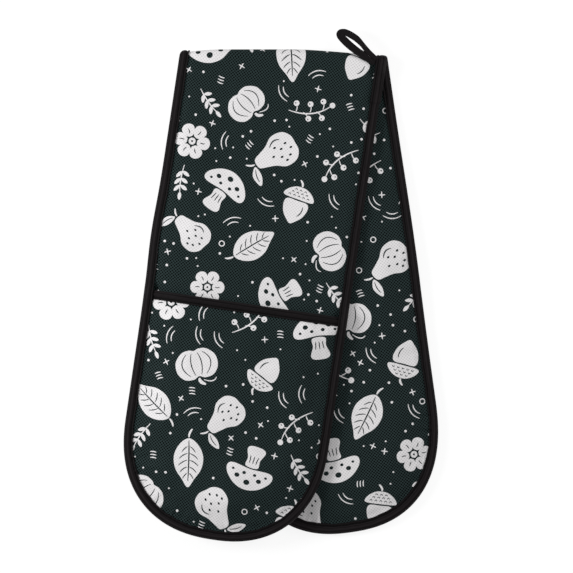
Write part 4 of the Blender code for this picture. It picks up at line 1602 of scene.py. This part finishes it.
CAMERA_HEIGHT = 2.6
CAMERA_PLACE = (0.0049, -0.0016)
GLOVE_LEVEL = 0.012
VIEW_WIDTH = 0.503
SENSOR_MM = 36
FLOOR_REACH = 2.5
FLOOR_DROP = 0.0002
FLOOR_GREY = (0.86, 0.86, 0.86, 1)
FLOOR_GLOW = 1.09
FLOOR_GLOW_SHARE = 0.80
SKY_STRENGTH = 0.35

# Each lamp's name, place, size and power
LAMPS = (("key", (-1.0, 0.15, 0.7), 0.5, 12.0), ("fill", (1.0, 0.4, 0.7), 0.7, 6.5))


def make_camera():
    """Straight above, up towards the fold, with a long lens."""
    data = bpy.data.cameras.new("camera")
    data.sensor_width = SENSOR_MM
    data.lens = SENSOR_MM * (CAMERA_HEIGHT - GLOVE_LEVEL) / VIEW_WIDTH
    camera = place_in_scene("camera", data)
    camera.location = (*CAMERA_PLACE, CAMERA_HEIGHT)
    bpy.context.scene.camera = camera


def make_floor():
    """Pale floor that keeps a faint shadow."""
    n = Nodes(bpy.data.materials.new("floor"))
    n.put(n.shader, {"Base Color": FLOOR_GREY})
    n.finish(specular=0.1, roughness=0.9)
    glow = n.add("ShaderNodeEmission", {"Color": WHITE, "Strength": FLOOR_GLOW})
    n.over_background(n.shader, glow, FLOOR_GLOW_SHARE, "Material Output")
    corners = [(x * FLOOR_REACH, y * FLOOR_REACH, 0) for x, y in ((-1, -1), (1, -1), (1, 1), (-1, 1))]
    floor = new_object("floor", corners, [(0, 1, 2, 3)], [n.holder])
    floor.location.z = -FLOOR_DROP


def make_sky():
    """Even pale sky that shows as white."""
    world = bpy.data.worlds.new("sky")
    bpy.context.scene.world = world
    n = Nodes(world)
    sky = n.tree.nodes["Background"]
    n.put(sky, {"Color": WHITE, "Strength": SKY_STRENGTH})
    bright = n.add("ShaderNodeBackground", {"Color": WHITE, "Strength": 1})
    n.over_background(sky, bright, 1, "World Output")


def make_lamps():
    for name, place, size, power in LAMPS:
        data = bpy.data.lights.new(name, "AREA")
        data.shape = "DISK"
        data.size = size
        data.energy = power
        lamp = place_in_scene(name, data)
        lamp.location = place
        lamp.rotation_mode = "QUATERNION"
        lamp.rotation_quaternion = (-Vector(place)).to_track_quat("-Z", "Y")


def build():
    settle_cloths()
    make_camera()
    make_floor()
    make_sky()
    make_lamps()
    bpy.context.scene.view_settings.view_transform = "Standard"
    front_face = printed(front, seed=3, start=0.004, end=0.245, low=-0.02, high=0.245)
    front_pocket = printed(front, seed=8, start=0.238, end=0.435, low=0.225, high=0.44)
    back_reverse = printed(back, seed=5, start=0.034, end=0.43, low=0.022, high=0.44)
    front_reverse = printed(front, seed=14, start=0.034, end=0.43, low=0.022, high=0.44)
    back_pocket = printed(back, seed=21, start=0.238, end=0.43, low=0.225, high=0.44)
    back_face = printed(back, seed=27, start=0.050, end=0.245, low=0.026, high=0.245)
    over_fold = [
        (np.stack([points[:, 0], 2 * MIDDLE - points[:, 1]], axis=-1), ink)
        for points, ink in front_face
        if points[:, 1].max() > MIDDLE - OVER_FOLD
    ]
    make_strip(front, front_face, front_reverse)
    make_strip(back, back_face + over_fold, back_reverse)
    make_pocket(front, front_pocket)
    make_pocket(back, back_pocket)
    for half in (front, back):
        stations = tape_stations(half)
        run = station_run(half, stations)
        make_edge_binding(half, stations, run)
        make_stitching(half, stations, run)
        make_mouth_binding(half)
    make_lap()
    make_loop()
    make_tack()


build()
